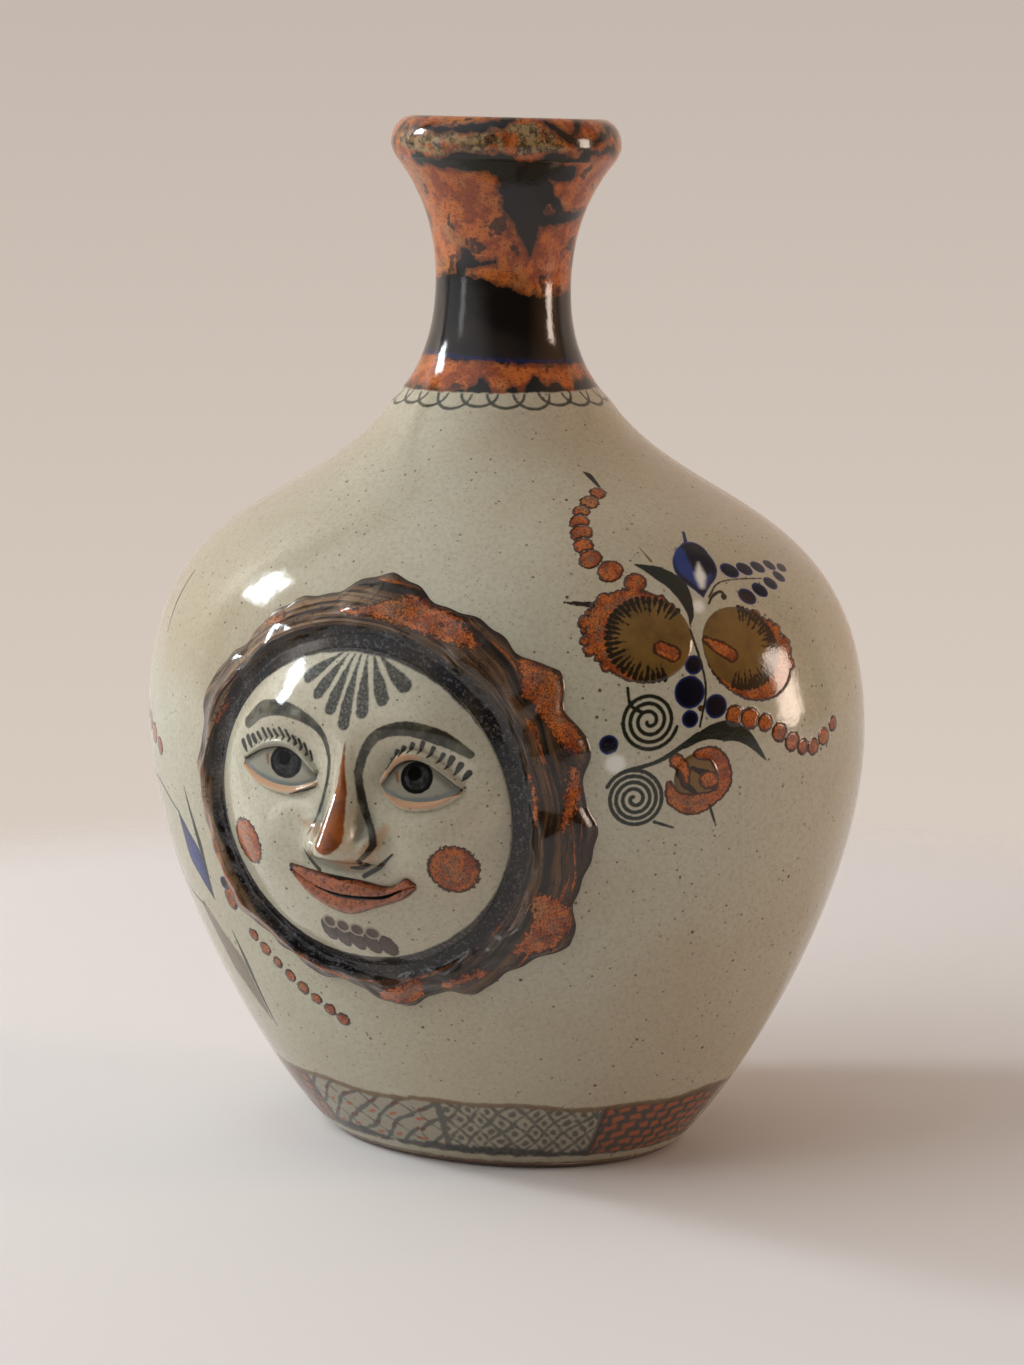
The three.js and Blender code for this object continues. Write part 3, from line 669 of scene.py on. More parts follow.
def pool_and_shade_depth(lift, pitch):
    """How far each place of a grid of lifts lies below its surroundings."""
    reach = round(POOL_WIDTH / pitch / 2)
    level = np.pad(lift, reach, mode="edge")
    even = np.full(2 * reach + 1, 1 / (2 * reach + 1))
    for axis in (0, 1):
        level = np.apply_along_axis(np.convolve, axis, level, even, "valid")
    return level - lift


def paint_lashes(sheet):
    """Lashes over both eyes; they lean away from the nose, and the outer ones are heavy."""
    for line, side, count in zip(UPPER_LIDS, (-1, 1), LASH_COUNTS):
        feet = spaced(moved(line, LASH_GAP), count + 1)
        for k, foot in enumerate(feet[1:] if side > 0 else feet[:-1]):
            outer = k if side < 0 else count - 1 - k
            heavy = OUTER_LASH_HALF if outer < OUTER_LASHES else LASH_HALF
            rise = LASH_RISE * (1 + 0.15 * sin(1.9 * k))
            tip = foot + (side * (LASH_LEAN + 0.08 * (count / 2 - outer)), rise)
            sheet.line("lash", [tip, foot], [heavy, 0.85 * heavy, 0.25])


def paint_face(sheet):
    for ink, points, halves in FACE_STROKES:
        sheet.line(ink, points, halves)
    paint_lashes(sheet)
    foot_step, tip_step, tip_rise = FAN_STEPS
    for k in range(FAN_STROKES):
        aside = k - (FAN_STROKES - 1) / 2
        foot = (FAN_FOOT[0] + foot_step * aside, FAN_FOOT[1])
        tip = (FAN_TIP[0] + tip_step * aside, FAN_TIP[1] + tip_rise * abs(aside))
        sheet.line("fan", [foot, tip], FAN_HALVES)
    for centre, across, up in CHEEK_DOTS:
        sheet.oval("orange", centre, across, up)
    (across, up), *half = CHIN_SMUDGE
    for k in range(CHIN_SMUDGES):
        sheet.oval("smudge", (across + CHIN_STEP * k, up - 1.1 * k ** 0.7), *half)
    (across, up), *half = CHIN_DAB
    for k in range(CHIN_DABS):
        sheet.oval("brown", (across + CHIN_STEP * k, up - 0.6 * k), *half)
    for ink, line, rise, halves in LID_LINES:
        sheet.line(ink, moved(line, rise), halves)
    sheet.lay("edge", -oval_distance(sheet.places, (0, PALE_UP), *PALE_HALF))


# Meshes, made from grids of point numbers


def quads(index):
    """Faces between the neighbours in a grid of point numbers."""
    corners = [index[:-1, :-1], index[:-1, 1:], index[1:, 1:], index[1:, :-1]]
    return np.stack(corners, -1).reshape(-1, 4).tolist()


def rim_of(index):
    """Loop of point numbers round a grid."""
    return [*index[0, :-1], *index[:-1, -1], *index[-1, :0:-1], *index[:0:-1, 0]]


def loops(index, wraps=0):
    """Faces between the rows of a grid, which are loops; with wraps the last row joins the first."""
    return quads(np.pad(index, ((0, wraps), (0, 1)), mode="wrap"))


def fan(loop, tip):
    return [[a, b, tip] for a, b in zip(loop, np.roll(loop, -1))]


def numbered(count, columns):
    return np.arange(count).reshape(-1, columns)


def tube(points, around):
    """Faces of a closed tube whose points lie in loops."""
    return loops(numbered(len(points), around), 1)


def outward(points, faces):
    """The faces of a closed mesh, turned so that their normals point out of it."""
    thirds = np.array([(f[0], f[i], f[i + 1]) for f in faces for i in range(1, len(f) - 1)])
    a, b, c = (points[thirds[:, k]] for k in range(3))
    volume = np.einsum("ij,ij->i", a, np.cross(b, c)).sum()
    return faces if volume > 0 else [face[::-1] for face in faces]


def add(name, data):
    item = bpy.data.objects.new(name, data)
    bpy.context.collection.objects.link(item)
    return item


def make_piece(name, points, faces, nodes, material, inks, sharp=50):
    points = np.asarray(points, float)
    mesh = bpy.data.meshes.new(name)
    mesh.from_pydata((points * MM).tolist(), [], outward(points, faces))
    mesh.update()
    for ink, values in inks.items():
        layer = mesh.attributes.new(ink, "FLOAT", "POINT")
        rest = np.full(len(points) - len(values), FAR)
        layer.data.foreach_set("value", np.append(values, rest).astype(np.float32))
    mesh.polygons.foreach_set("use_smooth", np.ones(len(mesh.polygons), bool))
    mesh.set_sharp_from_angle(angle=radians(sharp))
    mesh.materials.append(material)
    piece = add(name, mesh)
    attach(piece, "root")
    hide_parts(*nodes)


def ring_turns(count, rings):
    return np.tile(np.arange(count) * 360 / count, rings)


def turned_rings(profile, count):
    """Points of rings round the axis; profile gives (half width, half depth, height)."""
    wide, deep, height = np.asarray(profile, float).T[:, :, None]
    angle = np.linspace(0, 2 * pi, count, endpoint=False)
    points = np.broadcast_arrays(wide * np.sin(angle), -deep * np.cos(angle), height)
    return np.stack(points, -1).reshape(-1, 3)


def leaned(points):
    """The hand-set neck leans a little to the viewer's right above its foot."""
    points = np.array(points)
    rise = np.maximum(0, points[:, 2] - LEAN_FOOT)
    aside = points[:, :2] @ LEAN_WAY
    points[:, :2] += rise[:, None] * LEAN * LEAN_WAY
    points[:, 2] -= aside * LEAN * np.minimum(1, rise / LEAN_EASE)
    return points


# The body's skin in coarse cells, those under paint split into FINE by FINE
COLUMNS = 216
ROWS = 84
FINE = 8
SPAN = COLUMNS * FINE
FINE_REACH = 2.6
BAND_MARGIN = 3
INSIDE_STEP = 3 * FINE
# The wall is at most this share of the body's half width
WALL_SHARE = 0.28


def body_skin(fine):
    """Numbers of the used points of the fine grid, and the faces between them."""
    split = fine.repeat(FINE, 0).repeat(FINE, 1)
    used = np.zeros((ROWS * FINE + 1, SPAN), bool)
    used[::FINE, ::FINE] = True
    for part in (used[:-1], used[1:]):
        part |= split | np.roll(split, 1, 1)
    index = np.full(used.shape, -1)
    index[used] = np.arange(used.sum())
    closed = np.pad(index, ((0, 0), (0, 1)), mode="wrap")
    faces = []
    for row, column in np.ndindex(ROWS, COLUMNS):
        cell = closed[row * FINE:(row + 1) * FINE + 1, column * FINE:(column + 1) * FINE + 1]
        faces += quads(cell) if fine[row, column] else [[i for i in rim_of(cell) if i >= 0]]
    return index, faces


def build_body(material):
    """Hollow body, its skin fine where it is painted."""
    heights = heights_along(SLAB_TOP, COLLAR_HEIGHT, ROWS * FINE + 1)
    turns = np.arange(SPAN) * 360 / SPAN
    middle_z, middle_turn = np.meshgrid(heights[FINE // 2::FINE], turns[FINE // 2::FINE], indexing="ij")
    coarse = spray_inks(on_body(middle_turn.ravel(), middle_z.ravel()))
    nearest = np.min(list(coarse.values()), axis=0).reshape(ROWS, COLUMNS)
    index, faces = body_skin((nearest < FINE_REACH) | (middle_z < BAND_TOP + BAND_MARGIN))
    row_of, column_of = np.nonzero(index >= 0)
    outer = on_body(turns[column_of], heights[row_of])
    # Inside wall on the coarse columns, from the collar down to the slab
    inside = heights[::-INSIDE_STEP, None]
    walls = np.minimum(WALL, WALL_SHARE * half_sizes(inside)[0])
    inner = on_body(turns[::FINE], inside, walls).reshape(-1, 3)
    lining = len(outer) + numbered(len(inner), COLUMNS)
    faces += loops(lining)
    for i in range(COLUMNS):
        j = (i + 1) % COLUMNS
        edge = np.arange(i * FINE, (i + 1) * FINE + 1) % SPAN
        faces.append([v for v in index[-1, edge] if v >= 0] + [lining[0, j], lining[0, i]])
        faces.append([v for v in index[0, edge[::-1]] if v >= 0] + [lining[-1, i], lining[-1, j]])
    inks = {**spray_inks(outer), **paint_band(turns[column_of], heights[row_of])}
    make_piece("body", np.vstack([outer, inner]), faces, ["front_shell", "back_shell"],
               material, inks)


SLAB_AROUND = 720


def build_slab(material):
    heights = np.concatenate([np.linspace(0, 0.6, 9), np.linspace(1, SLAB_TOP, 24)])
    wide, deep = half_sizes(heights)
    low = [(s * FOOT[0], s * FOOT[1], 0) for s in (0.3, 0.6, 0.9)]
    top = [(s * (wide[-1] - 2 * WALL), s * (deep[-1] - 2 * WALL), SLAB_TOP) for s in (1, 0.5)]
    points = turned_rings([*low, *np.stack([wide, deep, heights], -1), *top], SLAB_AROUND)
    index = numbered(len(points), SLAB_AROUND)
    faces = loops(index) + fan(index[0, ::-1], index.size) + fan(index[-1], index.size + 1)
    inks = paint_band(ring_turns(SLAB_AROUND, len(index)), points[:, 2])
    inks["foot"] = np.append(inks["foot"], [-FAR, -FAR])
    points = np.vstack([points, [0, 0, 0], [0, 0, SLAB_TOP]])
    make_piece("base_slab", points, faces, ["base_slab"], material, inks)


# Neck and rim, painted on an unrolled sheet: places as (turn, height), half widths in mm
NECK_ROUND = 21.0
RIM_ROUND = 28.0
AROUND = 400
NECK_RINGS = 150
BORE_STEP = 8
# Turn where the unrolled sheet starts
SEAM = -60
NECK_INKS = ["black", "bare", "blue", "loops", "olive"]
NECK_PATCHES = [
    ([(38, 258), (41, 250), (46, 242), (49, 235)], [5.5, 6.0, 3.0, 0.4]),
    ([(50, 244), (68, 244.6), (100, 246.4)], [2.0, 1.6, 0.5]),
    ([(-12, 230), (-6, 234), (2, 232.5), (20, 233.6)], [1.8, 2.4, 1.4, 0.6]),
    ([(-66, 249.5), (-47, 243)], [0.6, 1.0, 0.4]),
    ([(-26, 259), (10, 258), (40, 257), (64, 256.4)], [0.8, 1.6, 2.8, 2.0]),
]
# The patches come three times round the neck
NECK_REPEATS = [(0, 0), (118, 3), (236, 3)]
BLACK_TOP = 227.4
BLACK_FOOT = 208.6
BLUE_LINE = 0.5
# The dark line over the loops is broad between these turns
RAGGED_TURNS = (8, 200)
LOOP_TOP = 200.6
LOOP_SWING = (185, 355)
LOOPS = 24
LOOP_DEEP = 3.5
LOOP_HALF = 3.9
LOOP_LINE = [0.3, 0.36, 0.26]
RIM_OLIVE = [(-34, 264), (-5, 262.8), (25, 264.2), (48, 265), (55, 263)]
RIM_OLIVE_HALVES = [2.0, 3.2, 4.4, 3.6, 1.0]
RIM_OLIVE_SHIFTS = (0, 175)
# Height of the dark smear under the rim, and the turns where it is full
RIM_SMEAR = 260.2
SMEAR_TURNS = (-30, 74)
VEIN_HALVES = [0.4, 0.8, 0.3]
RIM_VEINS = [
    [(-36, 267), (8, 267), (34, 270.5), (40, 274)],
    [(46, 269.6), (60, 265), (74, 264), (96, 268), (108, 266)],
    [(60, 265), (66, 268), (76, 274)],
    [(66, 262.5), (78, 261.4), (92, 262.5), (100, 260)],
    [(-40, 268), (-46, 264), (-52, 260)],
    [(120, 261), (150, 270), (186, 262)],
    [(200, 272), (232, 265), (262, 274)],
    [(268, 260), (280, 265), (296, 268)],
]
# The rim's lower flank, out from the flare and up from its seat, and the arc of its roll in degrees
RIM_FLANK = [(0, 0), (0.45, 0.7), (0.9, 1.6)]
RIM_ARC = (-18, 180)


def unrolled(places, radius, move=(0, 0)):
    """Places round the neck laid out flat, moved round and up."""
    turn, height = (np.asarray(places, float) + move).T
    return np.stack([np.radians(turn) * radius, height], -1)


def paint_neck(turn, height):
    turn = wrapped(turn, SEAM)
    angle = np.radians(turn)
    sheet = Sheet(unrolled(np.stack([turn, height], -1), NECK_ROUND), NECK_INKS)
    for move in NECK_REPEATS:
        for patch, halves in NECK_PATCHES:
            sheet.line("black", unrolled(patch, NECK_ROUND, move), halves)
    top = BLACK_TOP + 2.7 * np.cos(2 * angle + 0.7)
    foot = BLACK_FOOT - 1.05 * np.sin(angle - 0.17)
    sheet.lay("black", np.maximum(height - top, foot - height))
    sheet.lay("blue", np.abs(height - foot - BLUE_LINE) - BLUE_LINE)
    sheet.lay("bare", height - LOOP_TOP)
    ragged = 1.2 + waves(angle, (1.2, 9, 0), (1.1, 23, 1))
    share = np.where((turn > RAGGED_TURNS[0]) & (turn < RAGGED_TURNS[1]), 1.0, 0.2)
    sheet.lay("black", np.abs(height - LOOP_TOP - 0.5) - np.maximum(0, ragged) * share)
    swing = polar(np.linspace(*LOOP_SWING, 14), 1.0)
    for k in range(LOOPS + 1):
        start = (radians(SEAM + 360 * k / LOOPS) * NECK_ROUND, LOOP_TOP)
        line = start + swing * (LOOP_HALF, LOOP_DEEP + 0.4 * sin(2.1 * k))
        near = sheet.near(line, FAR)
        sheet.lay("loops", line_distance(sheet.places[near], line, LOOP_LINE), near)
    return sheet.inks


def build_neck(material):
    heights = heights_along(COLLAR_HEIGHT, RIM_SEAT, NECK_RINGS)
    radius = half_sizes(heights)[0]
    outside = np.stack([radius, radius, heights], -1)
    bore = outside[::-BORE_STEP] - (WALL, WALL, 0)
    bore[-1] = outside[0] - (2 * WALL, 2 * WALL, 0)
    points = leaned(turned_rings([*outside, *bore], AROUND))
    inks = paint_neck(ring_turns(AROUND, NECK_RINGS), np.repeat(heights, AROUND))
    make_piece("neck", points, tube(points, AROUND), ["neck"], material, inks)


def build_rim(material):
    half = RIM_ROLL_WIDTH / 2
    middle = RIM_RADIUS - half
    widest = TOP - RIM_CROWN
    profile = [(FLARE_RADIUS + out, RIM_SEAT + up) for out, up in RIM_FLANK]
    for degrees in np.linspace(*RIM_ARC, 48):
        rise = RIM_CROWN if degrees > 0 else widest - RIM_SEAT
        profile.append((middle + half * cos(radians(degrees)), widest + rise * sin(radians(degrees))))
    profile += [(RIM_RADIUS - RIM_ROLL_WIDTH, RIM_SEAT + 2), (FLARE_RADIUS - WALL, RIM_SEAT - 2)]
    profile = np.array(profile)
    points = leaned(turned_rings(profile[:, [0, 0, 1]], AROUND))
    unfolded = np.where(profile[:, 0] < middle, 2 * TOP - profile[:, 1], profile[:, 1])
    turn = wrapped(ring_turns(AROUND, len(profile)), SEAM)
    height = np.repeat(unfolded, AROUND)
    sheet = Sheet(unrolled(np.stack([turn, height], -1), RIM_ROUND), NECK_INKS)
    for shift in RIM_OLIVE_SHIFTS:
        sheet.line("olive", unrolled(RIM_OLIVE, RIM_ROUND, (shift, 0)), RIM_OLIVE_HALVES)
    for vein in RIM_VEINS:
        sheet.line("black", unrolled(vein, RIM_ROUND), VEIN_HALVES)
    smear = RIM_SMEAR + waves(np.radians(turn), (0.7, 7, 0), (0.5, 15, 1))
    full = (turn > SMEAR_TURNS[0]) & (turn < SMEAR_TURNS[1])
    sheet.lay("black", height - np.where(full, smear, smear - 2))
    make_piece("rim_roll", points, tube(points, AROUND), ["rim_roll"], material, sheet.inks)


# Patches of iron red on the ring: places as (degrees, distance from the disc's middle), half widths
RING_PATCHES = [
    ([(90, 49.5), (78, 51), (66, 51.5), (56, 52.2)], [1.2, 3.6, 3.0, 1.0]),
    ([(45, 57.5), (37, 57), (29, 56), (20, 57.5)], [2.6, 3.6, 2.7, 1.6]),
    ([(15, 55.5), (8, 54), (0, 52.5)], [1.0, 1.7, 1.0]),
    ([(19, 47), (10, 46.6), (1, 46.4)], [0.5, 1.1, 1.0]),
    ([(338, 50), (334, 54), (327, 54), (320, 51.5)], [2.0, 4.0, 3.2, 1.4]),
    ([(308, 50), (296, 48.5)], [1.2, 1.3]),
    ([(288, 46), (282, 48.5), (275, 49)], [1.5, 3.2, 2.0]),
    ([(262, 46), (240, 45.5), (225, 48), (213, 50)], [1.4, 1.3, 1.3, 1.1]),
    ([(142, 54), (136, 54)], [1.1, 1.5]),
    ([(130, 53.5), (118, 51.2)], [1.0, 1.3]),
    ([(97, 49.6), (91, 49)], [1.0, 1.0]),
    ([(158, 45.5), (150, 45)], [0.9, 0.9]),
]
RING_INKS = ["orange", "inner", "outer"]
RING_AROUND = 1080
RING_ROWS = 60
RING_TUCK = 0.4
RING_DIP = 2.9
# Width of the dark groove's paint, more towards the upper right, and of the dark edge
INNER_WIDTH = 4.2
INNER_MORE = 1.2
OUTER_WIDTH = 0.7
# Lifts of groove, crest and edge off the body, and how much lower crest and edge are between two tips
GROOVE = 2.9
CREST = 6.3
CREST_DIP = 1.5
EDGE = 3.0
EDGE_DIP = 0.9


def ring_outline(angle):
    """Distance of the ring's edge from the middle at an angle, and how deep it dips between two tips."""
    tips = np.array(RAY_ANGLES + [RAY_ANGLES[0] + 360])
    reach = np.array(RAY_SHARES + [RAY_SHARES[0]])
    turn = wrapped(angle, tips[0])
    k = np.clip(np.searchsorted(tips, turn, side="right") - 1, 0, len(RAY_ANGLES) - 1)
    share = (turn - tips[k]) / (tips[k + 1] - tips[k])
    # The far side of the ring was smoothed over
    dip = np.sin(pi * share) ** 1.5 * (1 - 0.6 * hump(angle, 190, 38))
    radius = DISC_RADIUS * (1 + reach[k] + (reach[k + 1] - reach[k]) * share) - RING_DIP * dip
    return radius + waves(np.radians(angle), (0.3, 23, 1), (0.25, 41, 2)), dip


def ring_lift(share, dip, turn):
    """Groove beside the disc, a ruffled crest, and a rounded fall to the edge."""
    crest = CREST - CREST_DIP * dip
    lift = GROOVE + (crest - GROOVE) * step(share, 0.2, 0.52)
    lift += (EDGE - EDGE_DIP * dip - crest) * step(share, 0.52, 0.95)
    folds = 0.34 * np.sin(2 * pi * (2.3 * share + 0.35 * np.sin(3 * turn + 1) + 0.2 * np.sin(7 * turn)))
    ruffle = waves(turn, (0.22, 19, 6 * share), (0.16, 31, 1 - 9 * share))
    lift += (folds + ruffle) * step(share, 0.22, 0.4) * step(share, 1.0, 0.85)
    return lift - (lift - 0.3) * step(share, 0.88, 1.0) ** 1.6


def build_ring(material):
    angle = ring_turns(RING_AROUND, 1)
    edge, dip = ring_outline(angle)
    inner = DISC_RADIUS - RING_TUCK
    shares = np.linspace(0, 1, RING_ROWS)
    rows = [inner + (edge - inner) * share for share in shares]
    rows += [edge + 0.1, (edge + inner) / 2, np.full(RING_AROUND, inner)]
    lifts = [ring_lift(share, dip, np.radians(angle)) for share in shares]
    lifts += [np.full(RING_AROUND, SUNK)] * 3
    away = np.concatenate(rows)
    angles = np.tile(angle, len(rows))
    places = polar(angles, away)
    sheet = Sheet(places, RING_INKS)
    for patch, halves in RING_PATCHES:
        sheet.line("orange", polar(*np.array(patch, float).T), halves)
    sheet.lay("inner", away - DISC_RADIUS - INNER_WIDTH - INNER_MORE * hump(angles, 45, 45))
    sheet.lay("outer", np.tile(edge, len(rows)) - away - OUTER_WIDTH)
    inks = {**sheet.inks, "out": away, "brown": 0.14 + 0.86 * hump(angles, 150, 48)}
    points = on_face(*places.T, np.concatenate(lifts))
    make_piece("sun_ray_ring", points, tube(points, RING_AROUND), ["sun_ray_ring"],
               material, inks)


FACE_GRID = 281
FACE_NODES = ["face_disc", "nose", "left_upper_eyelid", "left_lower_eyelid", "right_upper_eyelid",
              "right_lower_eyelid"]
RELIEF_SHARP = 75


def build_face(material):
    """Disc with nose and lids as one relief, on a square grid bent into a round."""
    side = np.linspace(-1, 1, FACE_GRID)
    a, b = np.meshgrid(side, side)
    across = DISC_RADIUS * a * np.sqrt(1 - b ** 2 / 2)
    up = DISC_RADIUS * b * np.sqrt(1 - a ** 2 / 2)
    lift = face_lift(across, up)
    # How deep each place lies in a hollow, for pooled glaze and painted shade
    pool = pool_and_shade_depth(lift, 2 * DISC_RADIUS / FACE_GRID).ravel()
    across, up, lift = across.ravel(), up.ravel(), lift.ravel()
    index = numbered(len(lift), FACE_GRID)
    rim = rim_of(index)
    points = np.vstack([on_face(across, up, lift), on_face(across[rim], up[rim], SUNK), on_face(0, 0, SUNK)])
    skirt = index.size + np.arange(len(rim))
    faces = quads(index) + loops([skirt, rim]) + fan(skirt[::-1], len(points) - 1)
    sheet = Sheet(np.stack([across, up], -1), FACE_INKS)
    paint_face(sheet)
    make_piece("face", points, faces, FACE_NODES, material, {**sheet.inks, "pool": pool},
               RELIEF_SHARP)


def build_pad(name, across, up, over, under, material, inks):
    """Closed pad on a grid of places: a top, an underside and a rim between them."""
    places = across.ravel(), up.ravel()
    points = np.vstack([on_face(*places, lift.ravel()) for lift in (over, under)])
    index = numbered(across.size, across.shape[1])
    below = across.size + index
    faces = quads(index) + quads(below[::-1]) + loops([rim_of(below), rim_of(index)])
    inks = {ink: np.tile(values, 2) for ink, values in inks.items()}
    make_piece(name, points, faces, [name], material, inks, RELIEF_SHARP)


def between(first, second, along, across):
    """Grid of places between two lines."""
    a, b = flowing(first, along), flowing(second, along)
    shares = np.linspace(0, 1, across)[:, None, None]
    return np.moveaxis(a + (b - a) * shares, -1, 0)


EYE_GRID = (81, 41)
EYE_HALF = (13, 6)
EYE_FULL = 2.7
LIP_GRID = (121, 25)
LIP_FULL = 2.7


def build_eye(name, lower, upper, iris, material):
    """Eyeball that fills the opening between two lid lines."""
    across, up = between(lower, upper, *EYE_GRID)
    middle = (lower[0][0] + lower[-1][0]) / 2
    ball = 1 - ((across - middle) / EYE_HALF[0]) ** 2 - 0.8 * ((up - EYE_UP) / EYE_HALF[1]) ** 2
    floor = disc_lift(across, up)
    places = np.stack([across.ravel(), up.ravel()], -1)
    sheet = Sheet(places, ["iris", "pupil", "rim", "edge", "corner", "shade"])
    (x, y), wide, tall = iris
    sheet.oval("iris", (x, y), wide, tall)
    sheet.lay("rim", np.abs(oval_distance(places, (x, y), wide - 0.2, tall - 0.2)) - 0.5)
    sheet.oval("pupil", (x - 0.2 * wide, y + 0.25 * tall), 0.5 * wide, 0.5 * tall)
    sheet.line("edge", moved(lower, 0.9), [0.3, 0.6, 0.6, 0.3])
    sheet.line("shade", upper, [1.4, 1.6, 1.4])
    sheet.line("corner", [(x - wide - 1.4, y + 0.8), (x - wide - 0.8, y - 1.2)], [0.5, 0.3])
    build_pad(name, across, up, floor + EYE_FULL * np.maximum(0, ball), floor - 0.6, material,
              sheet.inks)


def build_lip(name, outer, material):
    """Lip from its outline to the parting, fullest in the middle of its width."""
    across, up = between(outer, MOUTH_MIDDLE, *LIP_GRID)
    along = np.linspace(0.03, 0.97, LIP_GRID[0])
    crown = np.sin(pi * 0.84 * np.linspace(0, 1, LIP_GRID[1])[:, None]) ** 0.6
    floor = disc_lift(across, up)
    over = floor - 0.25 + LIP_FULL * crown * np.sin(pi * along) ** 0.35
    places = np.stack([across.ravel(), up.ravel()], -1)
    sheet = Sheet(places, ["line", "rim"])
    sheet.line("line", MOUTH_MIDDLE[1:-1], [0.1, 0.5, 0.55, 0.5, 0.45, 0.15])
    sheet.oval("line", MOUTH_CORNER, 1.1, 0.9)
    if outer is MOUTH_TOP:
        sheet.line("line", LIP_BOW, [0.05, 0.55, 0.1])
    sheet.lay("rim", line_distance(places, flowing(outer), [0, 0]))
    build_pad(name, across, up, over, np.minimum(over, floor) - 0.8, material, sheet.inks)


# Materials


class Nodes:
    """Short ways to add nodes to a tree."""

    def __init__(self, tree):
        self.tree = tree

    def new(self, kind, inputs=None, **settings):
        node = self.tree.nodes.new(kind)
        for key, value in settings.items():
            setattr(node, key, value)
        for key, value in (inputs or {}).items():
            self.put(node.inputs[key], value)
        return node

    def put(self, socket, value):
        if isinstance(value, bpy.types.NodeSocket):
            self.tree.links.new(value, socket)
        elif isinstance(value, tuple) and len(value) < len(socket.default_value):
            socket.default_value = (*value, 1)
        else:
            socket.default_value = value

    def math(self, operation, a, b=0.0):
        return self.new("ShaderNodeMath", {0: a, 1: b}, operation=operation).outputs[0]

    def vector_math(self, operation, a, b=(0, 0, 0), output="Vector"):
        return self.new("ShaderNodeVectorMath", {0: a, 1: b}, operation=operation).outputs[output]

    def height_of(self, place):
        return self.new("ShaderNodeSeparateXYZ", {0: place}).outputs["Z"]

    def camera_ray(self):
        return self.new("ShaderNodeLightPath").outputs["Is Camera Ray"]

    def fade(self, value, start, end, kind="SMOOTHSTEP"):
        """0 at start, 1 at end."""
        inputs = {"Value": value, "From Min": start, "From Max": end}
        return self.new("ShaderNodeMapRange", inputs, interpolation_type=kind).outputs["Result"]

    def mix(self, share, a, b, full=1.0, blend="MIX"):
        """Colour a, with b laid over it by a share of at most full."""
        share = share if full == 1 else self.math("MULTIPLY", share, full)
        inputs = {"Factor": share, 6: a, 7: b}
        return self.new("ShaderNodeMix", inputs, data_type="RGBA", blend_type=blend).outputs[2]


PALE = (0.44, 0.425, 0.33)
WARM = (0.41, 0.355, 0.25)
FACE_PALE = (0.48, 0.46, 0.36)
FACE_WARM = (0.45, 0.41, 0.305)
DEEP = (0.24, 0.21, 0.145)
POOLED_GLAZE_AND_SHADE = (0.15, 0.155, 0.115)
LINE = (0.014, 0.017, 0.011)
BLACK = (0.0045, 0.004, 0.004)
NAVY = (0.002, 0.0028, 0.009)
COBALT = (0.01, 0.022, 0.1)
SPECK = (0.05, 0.028, 0.014)
# Kinds of iron specks: scale, size, threshold, strength
SPECKS = ((430, 0.13, 0.4, 0.85), (185, 0.08, 0.45, 0.95), (1000, 0.19, 0.4, 0.45))
GLAZE_IOR = 1.52


